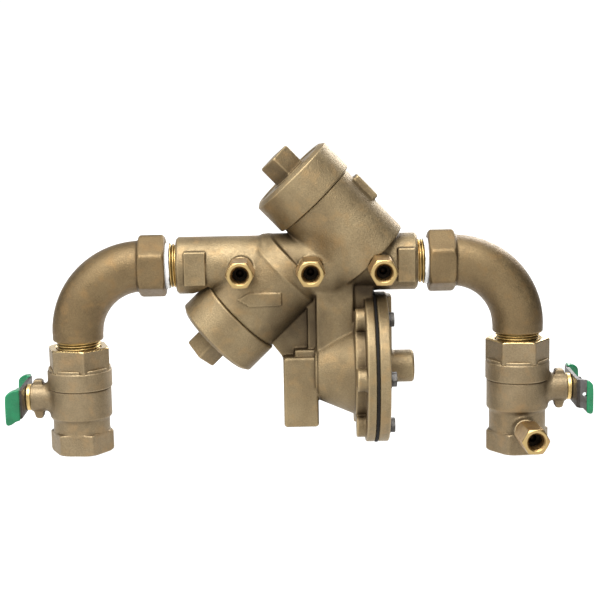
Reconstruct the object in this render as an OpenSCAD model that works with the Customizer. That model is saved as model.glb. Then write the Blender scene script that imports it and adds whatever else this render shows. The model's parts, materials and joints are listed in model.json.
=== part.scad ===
// One-inch reduced-pressure backflow preventer on two elbows with ball-valve shutoffs.
// Water enters at the right-hand leg and leaves at the left-hand leg.
// The origin is the centre of the inlet port's bottom face. X runs along the body
// towards the inlet, +Y points to the back and +Z points up.

/* [Layout] */
// Distance between the two vertical legs
leg_spacing = 330.4; // [330:0.1:332]
// Height of the body's run axis above the inlet port
run_height = 146; // [145:0.1:148]
// How much higher the outlet port ends than the inlet port
outlet_rise = 6; // [4:0.1:7]
// Drop from the run axis to the top of each shutoff valve
valve_drop = 59.8; // [59.5:0.1:61]

/* [Pipe thread] */
// Outer radius of the one-inch male thread
thread_r = 16.7; // [16.7]
// Bore radius of the one-inch female ports
port_r = 15.6; // [15.6]
// Depth of the female ports
port_depth = 17; // [16:0.5:18]
// Distance from one thread crest to the next
thread_pitch = 2.209; // [2.209]

/* [Body] */
// Outer radius of the run tube
tube_r = 21.2; // [20.8:0.1:21.5]
// Radius of the waterway
bore_r = 12.7; // [12:0.1:13]
// Distance from the body's centre to each shoulder
shoulder_x = 89.5; // [88:0.5:90]
// Place of the inlet barrel along the run
inlet_barrel_x = 59.3; // [59:0.1:60]
// Place of the outlet barrel along the run
outlet_barrel_x = -3.6; // [-4:0.1:-3]
// Length of the inlet barrel, from the run axis to its cap
inlet_seam = 65.5; // [65:0.5:66]
// Length of the outlet barrel, from the run axis to its cap
outlet_seam = 54.5; // [54.5:0.5:56]
// Outer radius of the check barrels
barrel_r = 31.5; // [31:0.1:32]
// Lean of the inlet barrel from the vertical
inlet_lean = 43.5; // [43:0.5:45]
// Lean of the outlet barrel from the vertical
outlet_lean = 46; // [44:0.5:46.5]
// Drop from the run axis to the relief valve's axis
relief_drop = 79.8; // [79.5:0.1:81]

/* [Check valves] */
// Outer radius of the caps
cap_r = 34.3; // [34:0.1:34.5]
// Height of the caps
cap_height = 27; // [26:0.5:27]
// Gap that is cut into the casting around each cap
cap_clearance = 2; // [1:0.5:2]

/* [Relief valve] */
// Outer radius of the flange and the cover
flange_r = 56.4; // [56:0.1:57]
// Bolt circle diameter
bolt_circle = 92; // [91:0.5:92]
// Number of cover bolts
bolt_count = 6; // [6]

/* [Elbows] */
// Outer radius of the elbows
elbow_r = 19; // [18:0.1:19.2]
// Width across the flats of the elbow's hexagon
elbow_hex = 42; // [42:0.5:43]
// Distance from the body's centre to the face of the elbow's hexagon
elbow_face_x = 97.5; // [97:0.5:98]

/* [Shutoff valves] */
// Width across the flats of the valve hexagons
valve_hex = 42.2; // [42:0.1:42.5]
// Radius of the ball
ball_r = 18; // [18]
// Radius of the opening in the ball
ball_port_r = 12; // [11.5:0.1:12]
// Distance from the top of the valve to the stem axis
stem_drop = 38.5; // [38.5]

/* [Test cocks] */
// Width across the flats of the test cocks
cock_hex = 18.5; // [18:0.5:19]
// Height of the inlet valve's test cock above the port
foot_cock_height = 20.8; // [20:0.2:22]
// Turn of that test cock about the leg, in degrees
foot_cock_turn = 4.5; // [3:0.5:8]
// Places of the three body test cocks along the run
cock_x = [61.5, 9.5, -41];

/* [Hidden] */

$fn = 48;
slide_fit = 0.05;      // radial clearance of a shaft in its bore
thread_fit = 0.05;     // radial clearance of an engaged thread
big = 160;             // side of the blocks that trim the waterway

// Colours
bronze = [0.66, 0.56, 0.40];
dark_bronze = [0.53, 0.42, 0.28];
brass = [0.80, 0.66, 0.38];
steel = [0.62, 0.62, 0.62];
stainless = [0.75, 0.75, 0.76];
black_rubber = [0.08, 0.08, 0.08];
ptfe = [0.93, 0.93, 0.92];
green = [0.10, 0.55, 0.30];
acetal = [0.88, 0.87, 0.82];

// Run tube
thread_length = 20;
tube_chamfer = 2;
chamber_r = 22.5;
chamber_x = [-27, 42];
low_passage_r = 10.7;  // the outlet passage is smaller and higher where it passes the cap
low_passage_rise = 2.4;
low_passage_x = -80;
cock_boss_r = 9;
cock_boss_y = 25;
pad_y = 21.5;          // flat pads for a wrench, on the front of the run
pad_half_z = 12.5;
outlet_pad_x = [-83, -67];
inlet_pad_x = [74, 87];
lug_w = 15;            // lug on the side of the inlet barrel
lug_out = 35.5;
lug_z = [35, 57];

// Check barrels, measured along the barrel from the run axis
wall_low = 1;          // underside of the wall that holds the seat
wall_high = 8;         // top of that wall
barrel_bore_r = 24.5;
cap_thread_r = 27;
cap_thread_length = 17.5;
seat_bore_r = 12.5;
seat_hole_r = 17;
seat_lip_r = 20;
seat_top = 10.5;
disc_r = 18;
disc_bottom = seat_top + 0.05;
disc_top = 13.5;
poppet_r = 19;
poppet_top = 16;
guide_r = 5;
guide_stick_out = 4.5; // how far the guide rod reaches past the barrel's end
cap_hollow = 18.5;     // height of the hollow inside the cap
guide_sleeve_r = 9;
guide_sleeve_drop = 10;
wrench_side = 19;
wrench_height = 16.5;
wrench_corner_r = 12.9;
check_coil_r = 14;
check_wire = 2;

// Relief valve, measured along X from the body's centre
housing_x = 12;        // left end of the cone
housing_end = 41.4;
flange_x = 49.4;
flange_face = 56;
diaphragm_t = 2;
cover_x = flange_face + diaphragm_t;
cover_face = 66.3;
rib_end = 70;
rib_w = 17;
boss_end = 86.7;
cover_boss_r = 12.2;
chamber_wall_x = 14;
chamber_r2 = 34;
ledge_x = 40;          // block that carries the inlet-pressure passage down to the flange
ledge_z = [-36, -16];
ledge_w = 28;
neck_w = 35;           // flat-sided neck between the run and the housing
neck_x = [13.5, 41.4];
neck_hole_x = [17, 35];
neck_hole_w = 22;
spout_x = [-11.6, 14.4];
spout_z = [-122, -68.5];
spout_w = 34;
spout_hole_x = [-7, 7.5];
spout_hole_w = 26;
web_t = 12;
sense_r = 48;          // distance of the inlet-pressure passage from the relief axis
sense_x = 52.5;
sense_hole_r = 2.2;
relief_rod_r = 4;
seat_face = 15.5;
relief_gap = 5.9;      // how far the relief disc stands off its seat
relief_disc = seat_face + relief_gap;
plate_x = 53;
bolt_r = 3;

// Elbows
bend_r = 49.5;
hex_length = 20;
elbow_reach = leg_spacing / 2 - elbow_face_x;
cast_end = 54.8;       // where the casting ends, below the run axis
elbow_bore_r = 13;
socket_depth = 12.5;
engaged = 11;          // how far the male thread goes into the valve

// Shutoff valves, measured down from the valve's top
adapter_hex_length = 15;
ring_length = 16;
ring_r = 24.1;
barrel_length = 23.5;
valve_r = 23.2;
neck_r = 21.2;
foot_hex_length = 16;
valve_corner_r = 24.2;
adapter_thread_r = 20.6;
adapter_end = 21.5;
cavity_r = 18.9;
cavity_end = 50;
seat_pocket_r = 17.7;
seat_pocket_end = 55.5;
seat_r = 17.6;
stem_r = 5;
boss_r = 10.5;
boss_end_x = 37;
lug_low = 16;          // reach of the lower handle stop from the stem axis
lug_high = 13.8;       // reach of the upper one
packing_r = 8;
packing_x = 28;
gland_x = 33;
base_x = 40.5;         // inner face of the handle
sheet = 2.5;           // handle sheet thickness
nut_end = 48.5;
wing_end_x = 52;
wing_y = 30;
bend_y = 24;
grip_t = 1.2;          // thickness of the vinyl

// Test cocks, measured outwards from the casting
cock_thread_r = 6.85;
cock_thread_length = 7.5;
cock_neck_r = 7.6;
cock_neck = 7;
cock_corner_r = 10.5;
cock_length = 33;
cock_port_r = 5.7;
cock_port_depth = 11;
cock_ball_r = 5;
cock_ball_z = 15.2;
cock_cavity = [8.7, 22];
cock_cavity_r = 5.5;
cock_way_r = 2.6;
cock_stem_r = 2.6;
foot_boss_start = 16.2; // boss on the inlet valve, measured from the leg's axis
foot_boss_end = 28;
foot_boss_r = 8.4;

// ---- places ----

module at_run() translate([-leg_spacing / 2, 0, run_height]) children();

// +Z along the barrel, away from the run
module on_inlet_barrel()
    at_run() translate([inlet_barrel_x, 0, 0]) rotate([0, -inlet_lean, 0]) children();
module on_outlet_barrel()
    at_run() translate([outlet_barrel_x, 0, 0]) rotate([0, outlet_lean - 180, 0]) children();

// +Z along the relief valve, towards its cover
module on_relief() at_run() translate([0, 0, -relief_drop]) rotate([0, 90, 0]) children();

module at_bolts() for (i = [0:bolt_count - 1])
    rotate([0, 0, (i + 0.5) * 360 / bolt_count]) translate([bolt_circle / 2, 0, 0]) children();

// Z = 0 at the valve's top, +X outwards along the stem
module at_inlet_valve() translate([0, 0, run_height - valve_drop]) children();
module at_outlet_valve()
    translate([-leg_spacing, 0, run_height - valve_drop]) rotate([0, 0, 180]) children();

inlet_valve_h = run_height - valve_drop;
outlet_valve_h = run_height - valve_drop - outlet_rise;

// +Z outwards along the test cock, +Y up
module at_cock(number) {
    if (number == 1)
        translate([0, 0, foot_cock_height]) rotate([0, 0, foot_cock_turn])
            translate([0, -foot_boss_end, 0]) rotate([90, 0, 0]) children();
    else
        at_run() translate([cock_x[number - 2], -cock_boss_y, 0]) rotate([90, 0, 0]) children();
}

// ---- shared shapes ----

// A turned solid from its outline as [radius, height]
module turned(outline) rotate_extrude() polygon(outline);

module along_x(x0, x1, r) translate([x0, 0, 0]) rotate([0, 90, 0]) cylinder(r = r, h = x1 - x0);

// A hexagon across the flats, with its corners turned down to corner_r
module hexagon(flats, height, corner_r, chamfer) intersection() {
    cylinder(d = flats / cos(30), h = height, $fn = 6);
    turned([[0, 0], [corner_r - chamfer, 0], [corner_r, chamfer], [corner_r, height - chamfer],
            [corner_r - chamfer, height], [0, height]]);
}

// A tapered male pipe thread that starts at z = 0 and ends at z = length
module male_thread(length) {
    turns = floor((length - 1) / thread_pitch);
    depth = 1.2;
    taper = 1 / 32;
    turned(concat(
        [[0, 0], [thread_r - depth, 0]],
        [for (i = [0:turns - 1], crest = [0, 1])
            let (z = 0.3 + (i + crest / 2) * thread_pitch)
            [thread_r - (1 - crest) * depth - z * taper, z]],
        [[thread_r - depth - length * taper, length], [0, length]]));
}

// A compression spring of round wire along +Z, with both ends drawn flat
module coil_spring(coil_r, wire, z0, z1, turns) {
    steps = 14;
    sides = 6;
    count = turns * steps;
    wire_r = wire / 2;
    low = z0 + wire_r;
    rise = z1 - z0 - wire;
    // The first and last turn lie flat
    function height(i) =
        let (t = i / steps)
        low + rise * min(max((t - 0.8) / (turns - 1.6), 0), 1) + wire * 0.55 * (min(t, 0.8) - 0.8
            + max(t - turns + 0.8, 0));
    points = [for (i = [0:count], k = [0:sides - 1])
        let (a = i * 360 / steps, b = k * 360 / sides, r = coil_r + wire_r * cos(b))
        [r * cos(a), r * sin(a), min(max(height(i), low), low + rise) + wire_r * sin(b)]];
    walls = [for (i = [0:count - 1], k = [0:sides - 1])
        let (n = (k + 1) % sides)
        [i * sides + k, (i + 1) * sides + k, (i + 1) * sides + n, i * sides + n]];
    polyhedron(points, concat([[for (k = [0:sides - 1]) k]], walls,
        [[for (k = [sides - 1:-1:0]) count * sides + k]]));
}

// ---- body ----

module barrel(seam) turned([
    [0, -14], [15, -14], [barrel_r, 9], [barrel_r, seam - 1], [barrel_r - 1, seam], [0, seam]]);

// A block between two places along X and two along Z, centred on Y
module block(xs, width, zs) translate([xs[0], -width / 2, zs[0]]) cube([xs[1] - xs[0], width, zs[1] - zs[0]]);

module spout_outside() {
    block(spout_x, spout_w, spout_z);
    block([-3, 13], 28, [spout_z[1] - 1, spout_z[1] + 5]);
}

// Thin wall between the outlet barrel and the discharge spout
module web() translate([0, web_t / 2, 0]) rotate([90, 0, 0]) linear_extrude(web_t)
    polygon([[16, -8], [16, -75], [-8, -75], [-21, -58], [-12, -30], [-6, -8]]);

module relief_outside() {
    on_relief() {
        turned([[0, housing_x], [20, housing_x], [24.6, housing_x + 3], [35.6, housing_end],
                [40, housing_end], [40, flange_x], [flange_r, flange_x],
                [flange_r, flange_face], [0, flange_face]]);
        at_bolts() translate([0, 0, housing_end + 0.6]) cylinder(r = 8.6, h = flange_x - housing_end);
    }
    at_run() {
        block(neck_x, neck_w, [-relief_drop, 0]);
        block([ledge_x, flange_face], ledge_w, ledge_z);
    }
}

module body_outside() {
    at_run() {
        rotate([0, 90, 0]) turned([
            [0, -shoulder_x], [tube_r - tube_chamfer, -shoulder_x], [tube_r, -shoulder_x + tube_chamfer],
            [tube_r, shoulder_x - tube_chamfer], [tube_r - tube_chamfer, shoulder_x], [0, shoulder_x]]);
        for (side = [-90, 90])
            rotate([0, side, 0]) translate([0, 0, shoulder_x]) male_thread(thread_length);
        along_x(chamber_x[0], chamber_x[1], chamber_r);
        for (x = cock_x)
            translate([x, 0, 0]) rotate([90, 0, 0]) cylinder(r = cock_boss_r, h = cock_boss_y);
        for (xs = [outlet_pad_x, inlet_pad_x])
            translate([xs[0], -pad_y, -pad_half_z]) cube([xs[1] - xs[0], pad_y, 2 * pad_half_z]);
        spout_outside();
        web();
    }
    on_inlet_barrel() {
        barrel(inlet_seam);
        block([barrel_r - 6, lug_out], lug_w, lug_z);
    }
    on_outlet_barrel() barrel(outlet_seam);
    relief_outside();
}

module trim_above(z) translate([-big / 2, -big / 2, z]) cube(big);
module trim_below(z) translate([-big / 2, -big / 2, z - big]) cube(big);

// The waterway before the first check, between the checks, and after the second
module run_waterway() {
    difference() {
        at_run() along_x(30, shoulder_x + thread_length + 1, bore_r);
        on_inlet_barrel() trim_above(wall_low);
    }
    difference() {
        at_run() along_x(-30, 70, bore_r);
        on_inlet_barrel() trim_below(wall_high + 1);
        on_outlet_barrel() trim_above(wall_low);
    }
    at_run() along_x(-shoulder_x - thread_length - 1, low_passage_x, bore_r);
    difference() {
        at_run() translate([0, 0, low_passage_rise]) along_x(low_passage_x - 3, 20, low_passage_r);
        on_outlet_barrel() trim_below(wall_high + 1);
    }
}

// The inside of a barrel, and the room for its cap where the run would be in the way
module barrel_hollow(seam) {
    translate([0, 0, seam]) cylinder(r = cap_r + cap_clearance, h = cap_height + wrench_height);
    translate([0, 0, wall_low - 1]) cylinder(r = seat_hole_r, h = wall_high);
    translate([0, 0, wall_high]) cylinder(r = barrel_bore_r, h = seam);
    translate([0, 0, seam - cap_thread_length]) cylinder(r = cap_thread_r + thread_fit, h = seam);
}

module relief_hollow() {
    on_relief() {
        turned([[0, chamber_wall_x], [18.5, chamber_wall_x], [30, 44], [chamber_r2, 46],
                [chamber_r2, flange_face + 1], [0, flange_face + 1]]);
        translate([0, 0, 6]) cylinder(r = 13, h = 9);
        at_bolts() translate([0, 0, 44]) cylinder(r = bolt_r + thread_fit, h = 14);
        translate([-sense_r, 0, sense_x]) cylinder(r = sense_hole_r, h = 5);
    }
    at_run() {
        block(neck_hole_x, neck_hole_w, [-70, -8]);
        block(spout_hole_x, spout_hole_w, [spout_z[0] - 2, spout_z[1] - 2]);
        translate([sense_x, 0, sense_r - relief_drop]) cylinder(r = sense_hole_r, h = 24);
    }
}

// A test cock's hole, with its boss faced flat
module cock_hole() {
    cylinder(r = cock_boss_r + 0.5, h = 8);
    translate([0, 0, -cock_thread_length - 0.5])
        cylinder(r = cock_thread_r + thread_fit, h = cock_thread_length + 1);
    translate([0, 0, -cock_boss_y + 4]) cylinder(r = cock_way_r, h = cock_boss_y);
}

module body() color(bronze) difference() {
    body_outside();
    run_waterway();
    on_inlet_barrel() barrel_hollow(inlet_seam);
    on_outlet_barrel() barrel_hollow(outlet_seam);
    relief_hollow();
    for (number = [2:4]) at_cock(number) cock_hole();
}

// ---- check valves, along the barrel from the run axis ----

module check_seat() color(brass) turned([
    [seat_bore_r, wall_low], [seat_hole_r - 0.02, wall_low], [seat_hole_r - 0.02, wall_high],
    [seat_lip_r, wall_high], [seat_lip_r, seat_top - 1], [seat_lip_r - 1, seat_top],
    [seat_bore_r, seat_top]]);

module check_poppet(seam) color(acetal) turned([
    [3, disc_top], [disc_r + 0.1, disc_top], [disc_r + 0.1, 12], [poppet_r, 12], [poppet_r, poppet_top],
    [12.5, poppet_top], [11.5, poppet_top + 3], [guide_r, poppet_top + 3], [guide_r, seam + guide_stick_out],
    [0, seam + guide_stick_out], [0, 23], [3, 23]]);

module check_disc() color(black_rubber) turned([
    [3, disc_bottom], [disc_r, disc_bottom], [disc_r, disc_top], [3, disc_top]]);

// Washer and screw that clamp the rubber disc to the poppet
module disc_retainer() color(stainless) {
    turned([[0, 6.5], [4.5, 6.5], [4.5, 8.8], [10.5, 8.8], [10.5, disc_bottom], [2.95, disc_bottom],
            [2.95, 22], [0, 22]]);
}

module check_spring(seam) color(stainless)
    coil_spring(check_coil_r, check_wire, poppet_top + 0.05, seam + cap_hollow - 0.05, 7);

module check_cap(seam) color(bronze) difference() {
    union() {
        turned([[0, seam - cap_thread_length + 1], [cap_thread_r, seam - cap_thread_length + 1],
                [cap_thread_r, seam], [cap_r - 1, seam], [cap_r, seam + 1], [cap_r, seam + cap_height - 2.5],
                [cap_r - 3.5, seam + cap_height], [0, seam + cap_height]]);
        translate([0, 0, seam + cap_height - 1]) rotate([0, 0, 45]) wrench_head();
    }
    turned([[guide_sleeve_r, seam - cap_thread_length], [23, seam - cap_thread_length],
            [23, seam + cap_hollow], [guide_sleeve_r, seam + cap_hollow]]);
    turned([[0, seam - cap_thread_length], [guide_sleeve_r + 1, seam - cap_thread_length],
            [guide_sleeve_r + 1, seam - guide_sleeve_drop], [0, seam - guide_sleeve_drop]]);
    translate([0, 0, seam - cap_thread_length])
        cylinder(r = guide_r + slide_fit, h = cap_thread_length + cap_hollow);
    turned([[24.3, seam - 3.3], [cap_thread_r + 1, seam - 3.3], [cap_thread_r + 1, seam - 0.5],
            [24.3, seam - 0.5]]);
}

// Square head for a wrench
module wrench_head() intersection() {
    block([-wrench_side / 2, wrench_side / 2], wrench_side, [0, wrench_height]);
    turned([[0, 0], [wrench_corner_r, 0], [wrench_corner_r, wrench_height - 2],
            [wrench_corner_r - 1.5, wrench_height], [0, wrench_height]]);
}

module cap_o_ring(seam) color(black_rubber)
    translate([0, 0, seam - 1.9]) rotate_extrude() translate([25.65, 0]) circle(r = 1.3, $fn = 24);

module cap_o_rings() {
    on_inlet_barrel() cap_o_ring(inlet_seam);
    on_outlet_barrel() cap_o_ring(outlet_seam);
}

// ---- relief valve, along X from the body's centre ----

module relief_seat() color(stainless) on_relief() turned([
    [10, 7.6], [12.98, 7.6], [12.98, chamber_wall_x], [14.4, chamber_wall_x], [14.4, seat_face - 0.5],
    [13.9, seat_face], [10, seat_face]]);

module relief_stem() color(stainless) on_relief() turned([
    [0, 2], [3.5, 2], [relief_rod_r, 2.5], [relief_rod_r, relief_disc - 3], [8, relief_disc - 3],
    [8, relief_disc], [relief_rod_r, relief_disc], [relief_rod_r, relief_disc + 3], [14.5, relief_disc + 3],
    [14.5, relief_disc + 6.5], [relief_rod_r, relief_disc + 6.5], [relief_rod_r, 77.5], [3.5, 78], [0, 78]]);

module relief_seal_disc() color(black_rubber) on_relief() turned([
    [relief_rod_r, relief_disc], [13, relief_disc], [13, relief_disc + 3], [relief_rod_r, relief_disc + 3]]);

module relief_spring() color(stainless) on_relief()
    coil_spring(16.2, 1.8, chamber_wall_x + 0.05, plate_x - 0.05, 6);

// The two plates that clamp the middle of the diaphragm, and their nut
module diaphragm_plates() color(steel) on_relief() {
    turned([[relief_rod_r, plate_x], [23, plate_x], [24, plate_x + 1], [24, flange_face],
            [relief_rod_r, flange_face]]);
    turned([[relief_rod_r, cover_x], [22, cover_x], [22, cover_x + 2], [21, cover_x + 3],
            [relief_rod_r, cover_x + 3]]);
    difference() {
        translate([0, 0, cover_x + 3]) hexagon(13, 3, 7.3, 0.3);
        cylinder(r = relief_rod_r, h = 80);
    }
}

module relief_diaphragm() color(black_rubber) on_relief() difference() {
    turned([[relief_rod_r, flange_face], [flange_r + 0.6, flange_face], [flange_r + 0.6, cover_x],
            [relief_rod_r, cover_x]]);
    at_bolts() translate([0, 0, 50]) cylinder(r = 3.4, h = 10);
    translate([-sense_r, 0, 50]) cylinder(r = sense_hole_r, h = 10);
}

// Round cover with a raised rib that carries the inlet-pressure passage
module relief_cover() color(bronze) on_relief() difference() {
    union() {
        turned([[0, cover_x], [flange_r, cover_x], [flange_r, cover_face - 1.2], [flange_r - 1.2, cover_face],
                [cover_boss_r, cover_face], [cover_boss_r, boss_end - 2.5], [cover_boss_r - 2.5, boss_end],
                [0, boss_end]]);
        intersection() {
            translate([-flange_r, -rib_w / 2, cover_x]) cube([flange_r, rib_w, rib_end - cover_x]);
            cylinder(r = flange_r - 1.5, h = 2 * rib_end);
        }
    }
    turned([[0, cover_x - 1], [chamber_r2, cover_x - 1], [chamber_r2, 62], [chamber_r2 - 4, 64.1],
            [0, 64.1]]);
    cylinder(r = relief_rod_r + slide_fit, h = 82);
    at_bolts() translate([0, 0, 50]) cylinder(r = 3.4, h = 30);
    translate([-sense_r, 0, cover_x - 1]) cylinder(r = sense_hole_r, h = 4);
    translate([-sense_r, -sense_hole_r, cover_x - 1]) cube([sense_r - 30, 2 * sense_hole_r, 4]);
}

module cover_bolts() color(steel) on_relief() at_bolts() {
    translate([0, 0, 45]) cylinder(r = bolt_r, h = cover_face - 45 + 1);
    translate([0, 0, cover_face]) cylinder(r = 6.2, h = 0.8);
    translate([0, 0, cover_face + 0.8]) hexagon(10, 3.6, 5.6, 0.5);
}

// ---- elbows ----

// An elbow from the run's male thread to the valve, for the inlet side.
// Its origin is where the leg axis meets the run axis, and the run comes from -X.
module elbow() color(dark_bronze) difference() {
    union() {
        translate([-elbow_reach, 0, 0]) rotate([0, 90, 0]) rotate([0, 0, 5])
            hexagon(elbow_hex, hex_length, 23.9, 1.8);
        translate([-bend_r, 0, -bend_r]) rotate([90, 0, 0])
            rotate_extrude(angle = 90) translate([bend_r, 0]) circle(r = elbow_r);
        translate([0, 0, -cast_end]) cylinder(r = elbow_r - 0.2, h = cast_end - bend_r + 0.01);
        translate([0, 0, -cast_end]) rotate([180, 0, 0]) male_thread(valve_drop - cast_end + engaged);
    }
    translate([-bend_r, 0, -bend_r]) rotate([90, 0, 0])
        rotate_extrude(angle = 90) translate([bend_r, 0]) circle(r = elbow_bore_r);
    translate([0, 0, -valve_drop - engaged - 1])
        cylinder(r = elbow_bore_r, h = valve_drop + engaged + 1 - bend_r);
    along_x(-elbow_reach - 1, -bend_r, elbow_bore_r);
    along_x(-elbow_reach - 1, socket_depth - elbow_reach, thread_r + thread_fit);
}

module inlet_elbow() translate([0, 0, run_height]) elbow();
module outlet_elbow() translate([-leg_spacing, 0, run_height]) mirror([1, 0, 0]) elbow();

// White tape that shows on the run's threads next to the elbows
module thread_tape() color(ptfe) at_run() for (side = [-90, 90]) rotate([0, side, 0])
    turned([[thread_r + 0.02, elbow_face_x - 3.2], [thread_r + 0.5, elbow_face_x - 3],
            [thread_r + 0.6, elbow_face_x], [thread_r + 0.02, elbow_face_x]]);

// ---- shutoff valves, measured down from the valve's top ----

module valve_body(height, foot_turn) {
    foot = height - foot_hex_length;
    difference() {
        union() {
            turned([[0, -adapter_hex_length], [ring_r - 1, -adapter_hex_length],
                    [ring_r, -adapter_hex_length - 1], [ring_r, -adapter_hex_length - ring_length + 0.8],
                    [valve_r, -adapter_hex_length - ring_length],
                    [valve_r, 2 - adapter_hex_length - ring_length - barrel_length],
                    [neck_r, -adapter_hex_length - ring_length - barrel_length],
                    [neck_r, -foot - 0.5], [0, -foot - 0.5]]);
            translate([0, 0, -height]) rotate([0, 0, foot_turn])
                hexagon(valve_hex, foot_hex_length, valve_corner_r, 0.8);
            translate([0, 0, -stem_drop]) along_x(10, boss_end_x, boss_r);
            translate([28, -4, -stem_drop - lug_low]) cube([7, 8, lug_low + lug_high]);
        }
        translate([0, 0, -adapter_end - 5]) cylinder(r = adapter_thread_r + thread_fit, h = adapter_end + 6);
        translate([0, 0, -cavity_end]) cylinder(r = cavity_r, h = cavity_end);
        translate([0, 0, -seat_pocket_end]) cylinder(r = seat_pocket_r, h = seat_pocket_end);
        translate([0, 0, -height + port_depth - 1]) cylinder(r = ball_port_r + 0.5, h = height);
        translate([0, 0, -height - 1]) cylinder(r = port_r, h = port_depth + 1);
        translate([0, 0, -stem_drop]) along_x(5, boss_end_x + 1, stem_r + slide_fit);
        translate([0, 0, -stem_drop]) along_x(packing_x, boss_end_x + 1, packing_r + thread_fit);
    }
}

module valve_adapter(hex_turn) color(dark_bronze) difference() {
    union() {
        translate([0, 0, -adapter_hex_length]) rotate([0, 0, hex_turn])
            hexagon(valve_hex, adapter_hex_length, valve_corner_r, 0.8);
        translate([0, 0, -adapter_end])
            cylinder(r = adapter_thread_r, h = adapter_end - adapter_hex_length + 1);
    }
    translate([0, 0, -adapter_end - 1]) cylinder(r = ball_port_r + 0.5, h = adapter_end + 2);
    translate([0, 0, -engaged - 1]) cylinder(r = thread_r + thread_fit, h = engaged + 2);
}

// Two rings that the ball turns between; their cones just clear the ball
module ball_seats() color(ptfe) translate([0, 0, -stem_drop]) for (up = [0, 180]) rotate([up, 0, 0])
    turned([[14.37, 11], [seat_r, 11], [seat_r, 17], [12.55, 17], [12.55, 13.15]]);

// The ball stands closed: its opening lies along Y
module valve_ball() color(stainless) translate([0, 0, -stem_drop]) difference() {
    sphere(r = ball_r);
    rotate([90, 0, 0]) cylinder(r = ball_port_r, h = 2 * ball_r + 2, center = true);
    translate([14, -2.05, -ball_r]) cube([6, 4.1, 2 * ball_r]);
}

module valve_stem() color(brass) translate([0, 0, -stem_drop]) difference() {
    union() {
        along_x(18.4, 50.5, stem_r);
        translate([14.2, -2, -4.5]) cube([5, 4, 9]);
    }
    for (side = [-1, 1])
        translate([base_x - 0.5, side * 5.7 - 2, -6]) cube([2 + sheet, 4, 12]);
}

module stem_packing() color(ptfe) translate([0, 0, -stem_drop]) rotate([0, 90, 0])
    turned([[stem_r + slide_fit, packing_x + 0.02], [packing_r, packing_x + 0.02], [packing_r, gland_x],
            [stem_r + slide_fit, gland_x]]);

module gland() color(brass) translate([0, 0, -stem_drop]) rotate([0, 90, 0])
    turned([[stem_r + slide_fit, gland_x], [packing_r, gland_x], [packing_r, boss_end_x], [9.6, boss_end_x],
            [9.9, boss_end_x + 0.4], [9.9, 39.6], [9.4, 40.1], [stem_r + slide_fit, 40.1]]);

// Outline of the handle sheet seen along the valve, one side of it, grown by extra
module wing_outline(extra) polygon([
    [base_x - extra, bend_y - 4], [base_x - extra, bend_y + 0.5], [base_x + 2 - extra, bend_y + 3.5 + extra],
    [wing_end_x - grip_t + extra, wing_y + extra], [wing_end_x - grip_t + extra, wing_y - sheet - extra],
    [base_x + sheet + 1.4, bend_y - extra], [base_x + sheet + extra, bend_y - 1.4 - extra],
    [base_x + sheet + extra, bend_y - 4]]);

// Outline of the handle seen from the front: its wings droop towards the tips
module wing_front(extra) polygon([
    [base_x - 1, -10.5 - extra], [base_x + 4, -10.5 - extra], [wing_end_x - 4.5, -13.5 - extra],
    [wing_end_x - 2.4, -13.8 - extra], [wing_end_x - grip_t + extra, -11.5], [wing_end_x - grip_t + extra, 5],
    [wing_end_x - 2, 8.5 + extra], [wing_end_x - 5, 11 + extra], [base_x + 3, 11 + extra],
    [base_x - 1, 10.5 + extra]]);

module wing(extra) intersection() {
    translate([0, 0, -20]) linear_extrude(40) wing_outline(extra);
    translate([0, 45, 0]) rotate([90, 0, 0]) linear_extrude(90) wing_front(extra);
}

module handle() color(steel) translate([0, 0, -stem_drop]) difference() {
    union() {
        translate([base_x, -bend_y + 2, -10.5]) cube([sheet, 2 * bend_y - 4, 21]);
        for (side = [0, 1]) mirror([0, side, 0]) wing(0);
    }
    intersection() {
        along_x(base_x - 1, base_x + sheet + 1, stem_r + slide_fit);
        translate([base_x - 1, -3.75, -6]) cube([sheet + 2, 7.5, 12]);
    }
    translate([base_x + 5.2, 0, 0]) rotate([90, 0, 0]) cylinder(r = 1.6, h = 90, center = true);
}

// Vinyl dipped over the wing tips as far in as x = from
module handle_grips(from) color(green) translate([0, 0, -stem_drop])
    for (side = [0, 1]) mirror([0, side, 0]) difference() {
        intersection() {
            wing(grip_t);
            translate([from, 0, -20]) cube([20, 40, 40]);
        }
        wing(0);
        translate([base_x + 5.2, 0, 0]) rotate([90, 0, 0]) cylinder(r = 1.6, h = 90, center = true);
    }

module handle_nut() color(steel) translate([0, 0, -stem_drop]) rotate([0, 90, 0]) difference() {
    translate([0, 0, base_x + sheet]) hexagon(13, nut_end - base_x - sheet, 7.2, 0.5);
    cylinder(r = stem_r + 0.02, h = 60);
}

module inlet_valve_body() color(dark_bronze) difference() {
    union() {
        at_inlet_valve() valve_body(inlet_valve_h, 6.5);
        at_cock(1) translate([0, 0, foot_boss_start - foot_boss_end])
            cylinder(r = foot_boss_r, h = foot_boss_end - foot_boss_start);
    }
    at_cock(1) cock_hole();
}

module outlet_valve_body() color(dark_bronze) at_outlet_valve() valve_body(outlet_valve_h, -4.5);

// ---- test cocks, along +Z outwards from the casting ----

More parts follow.
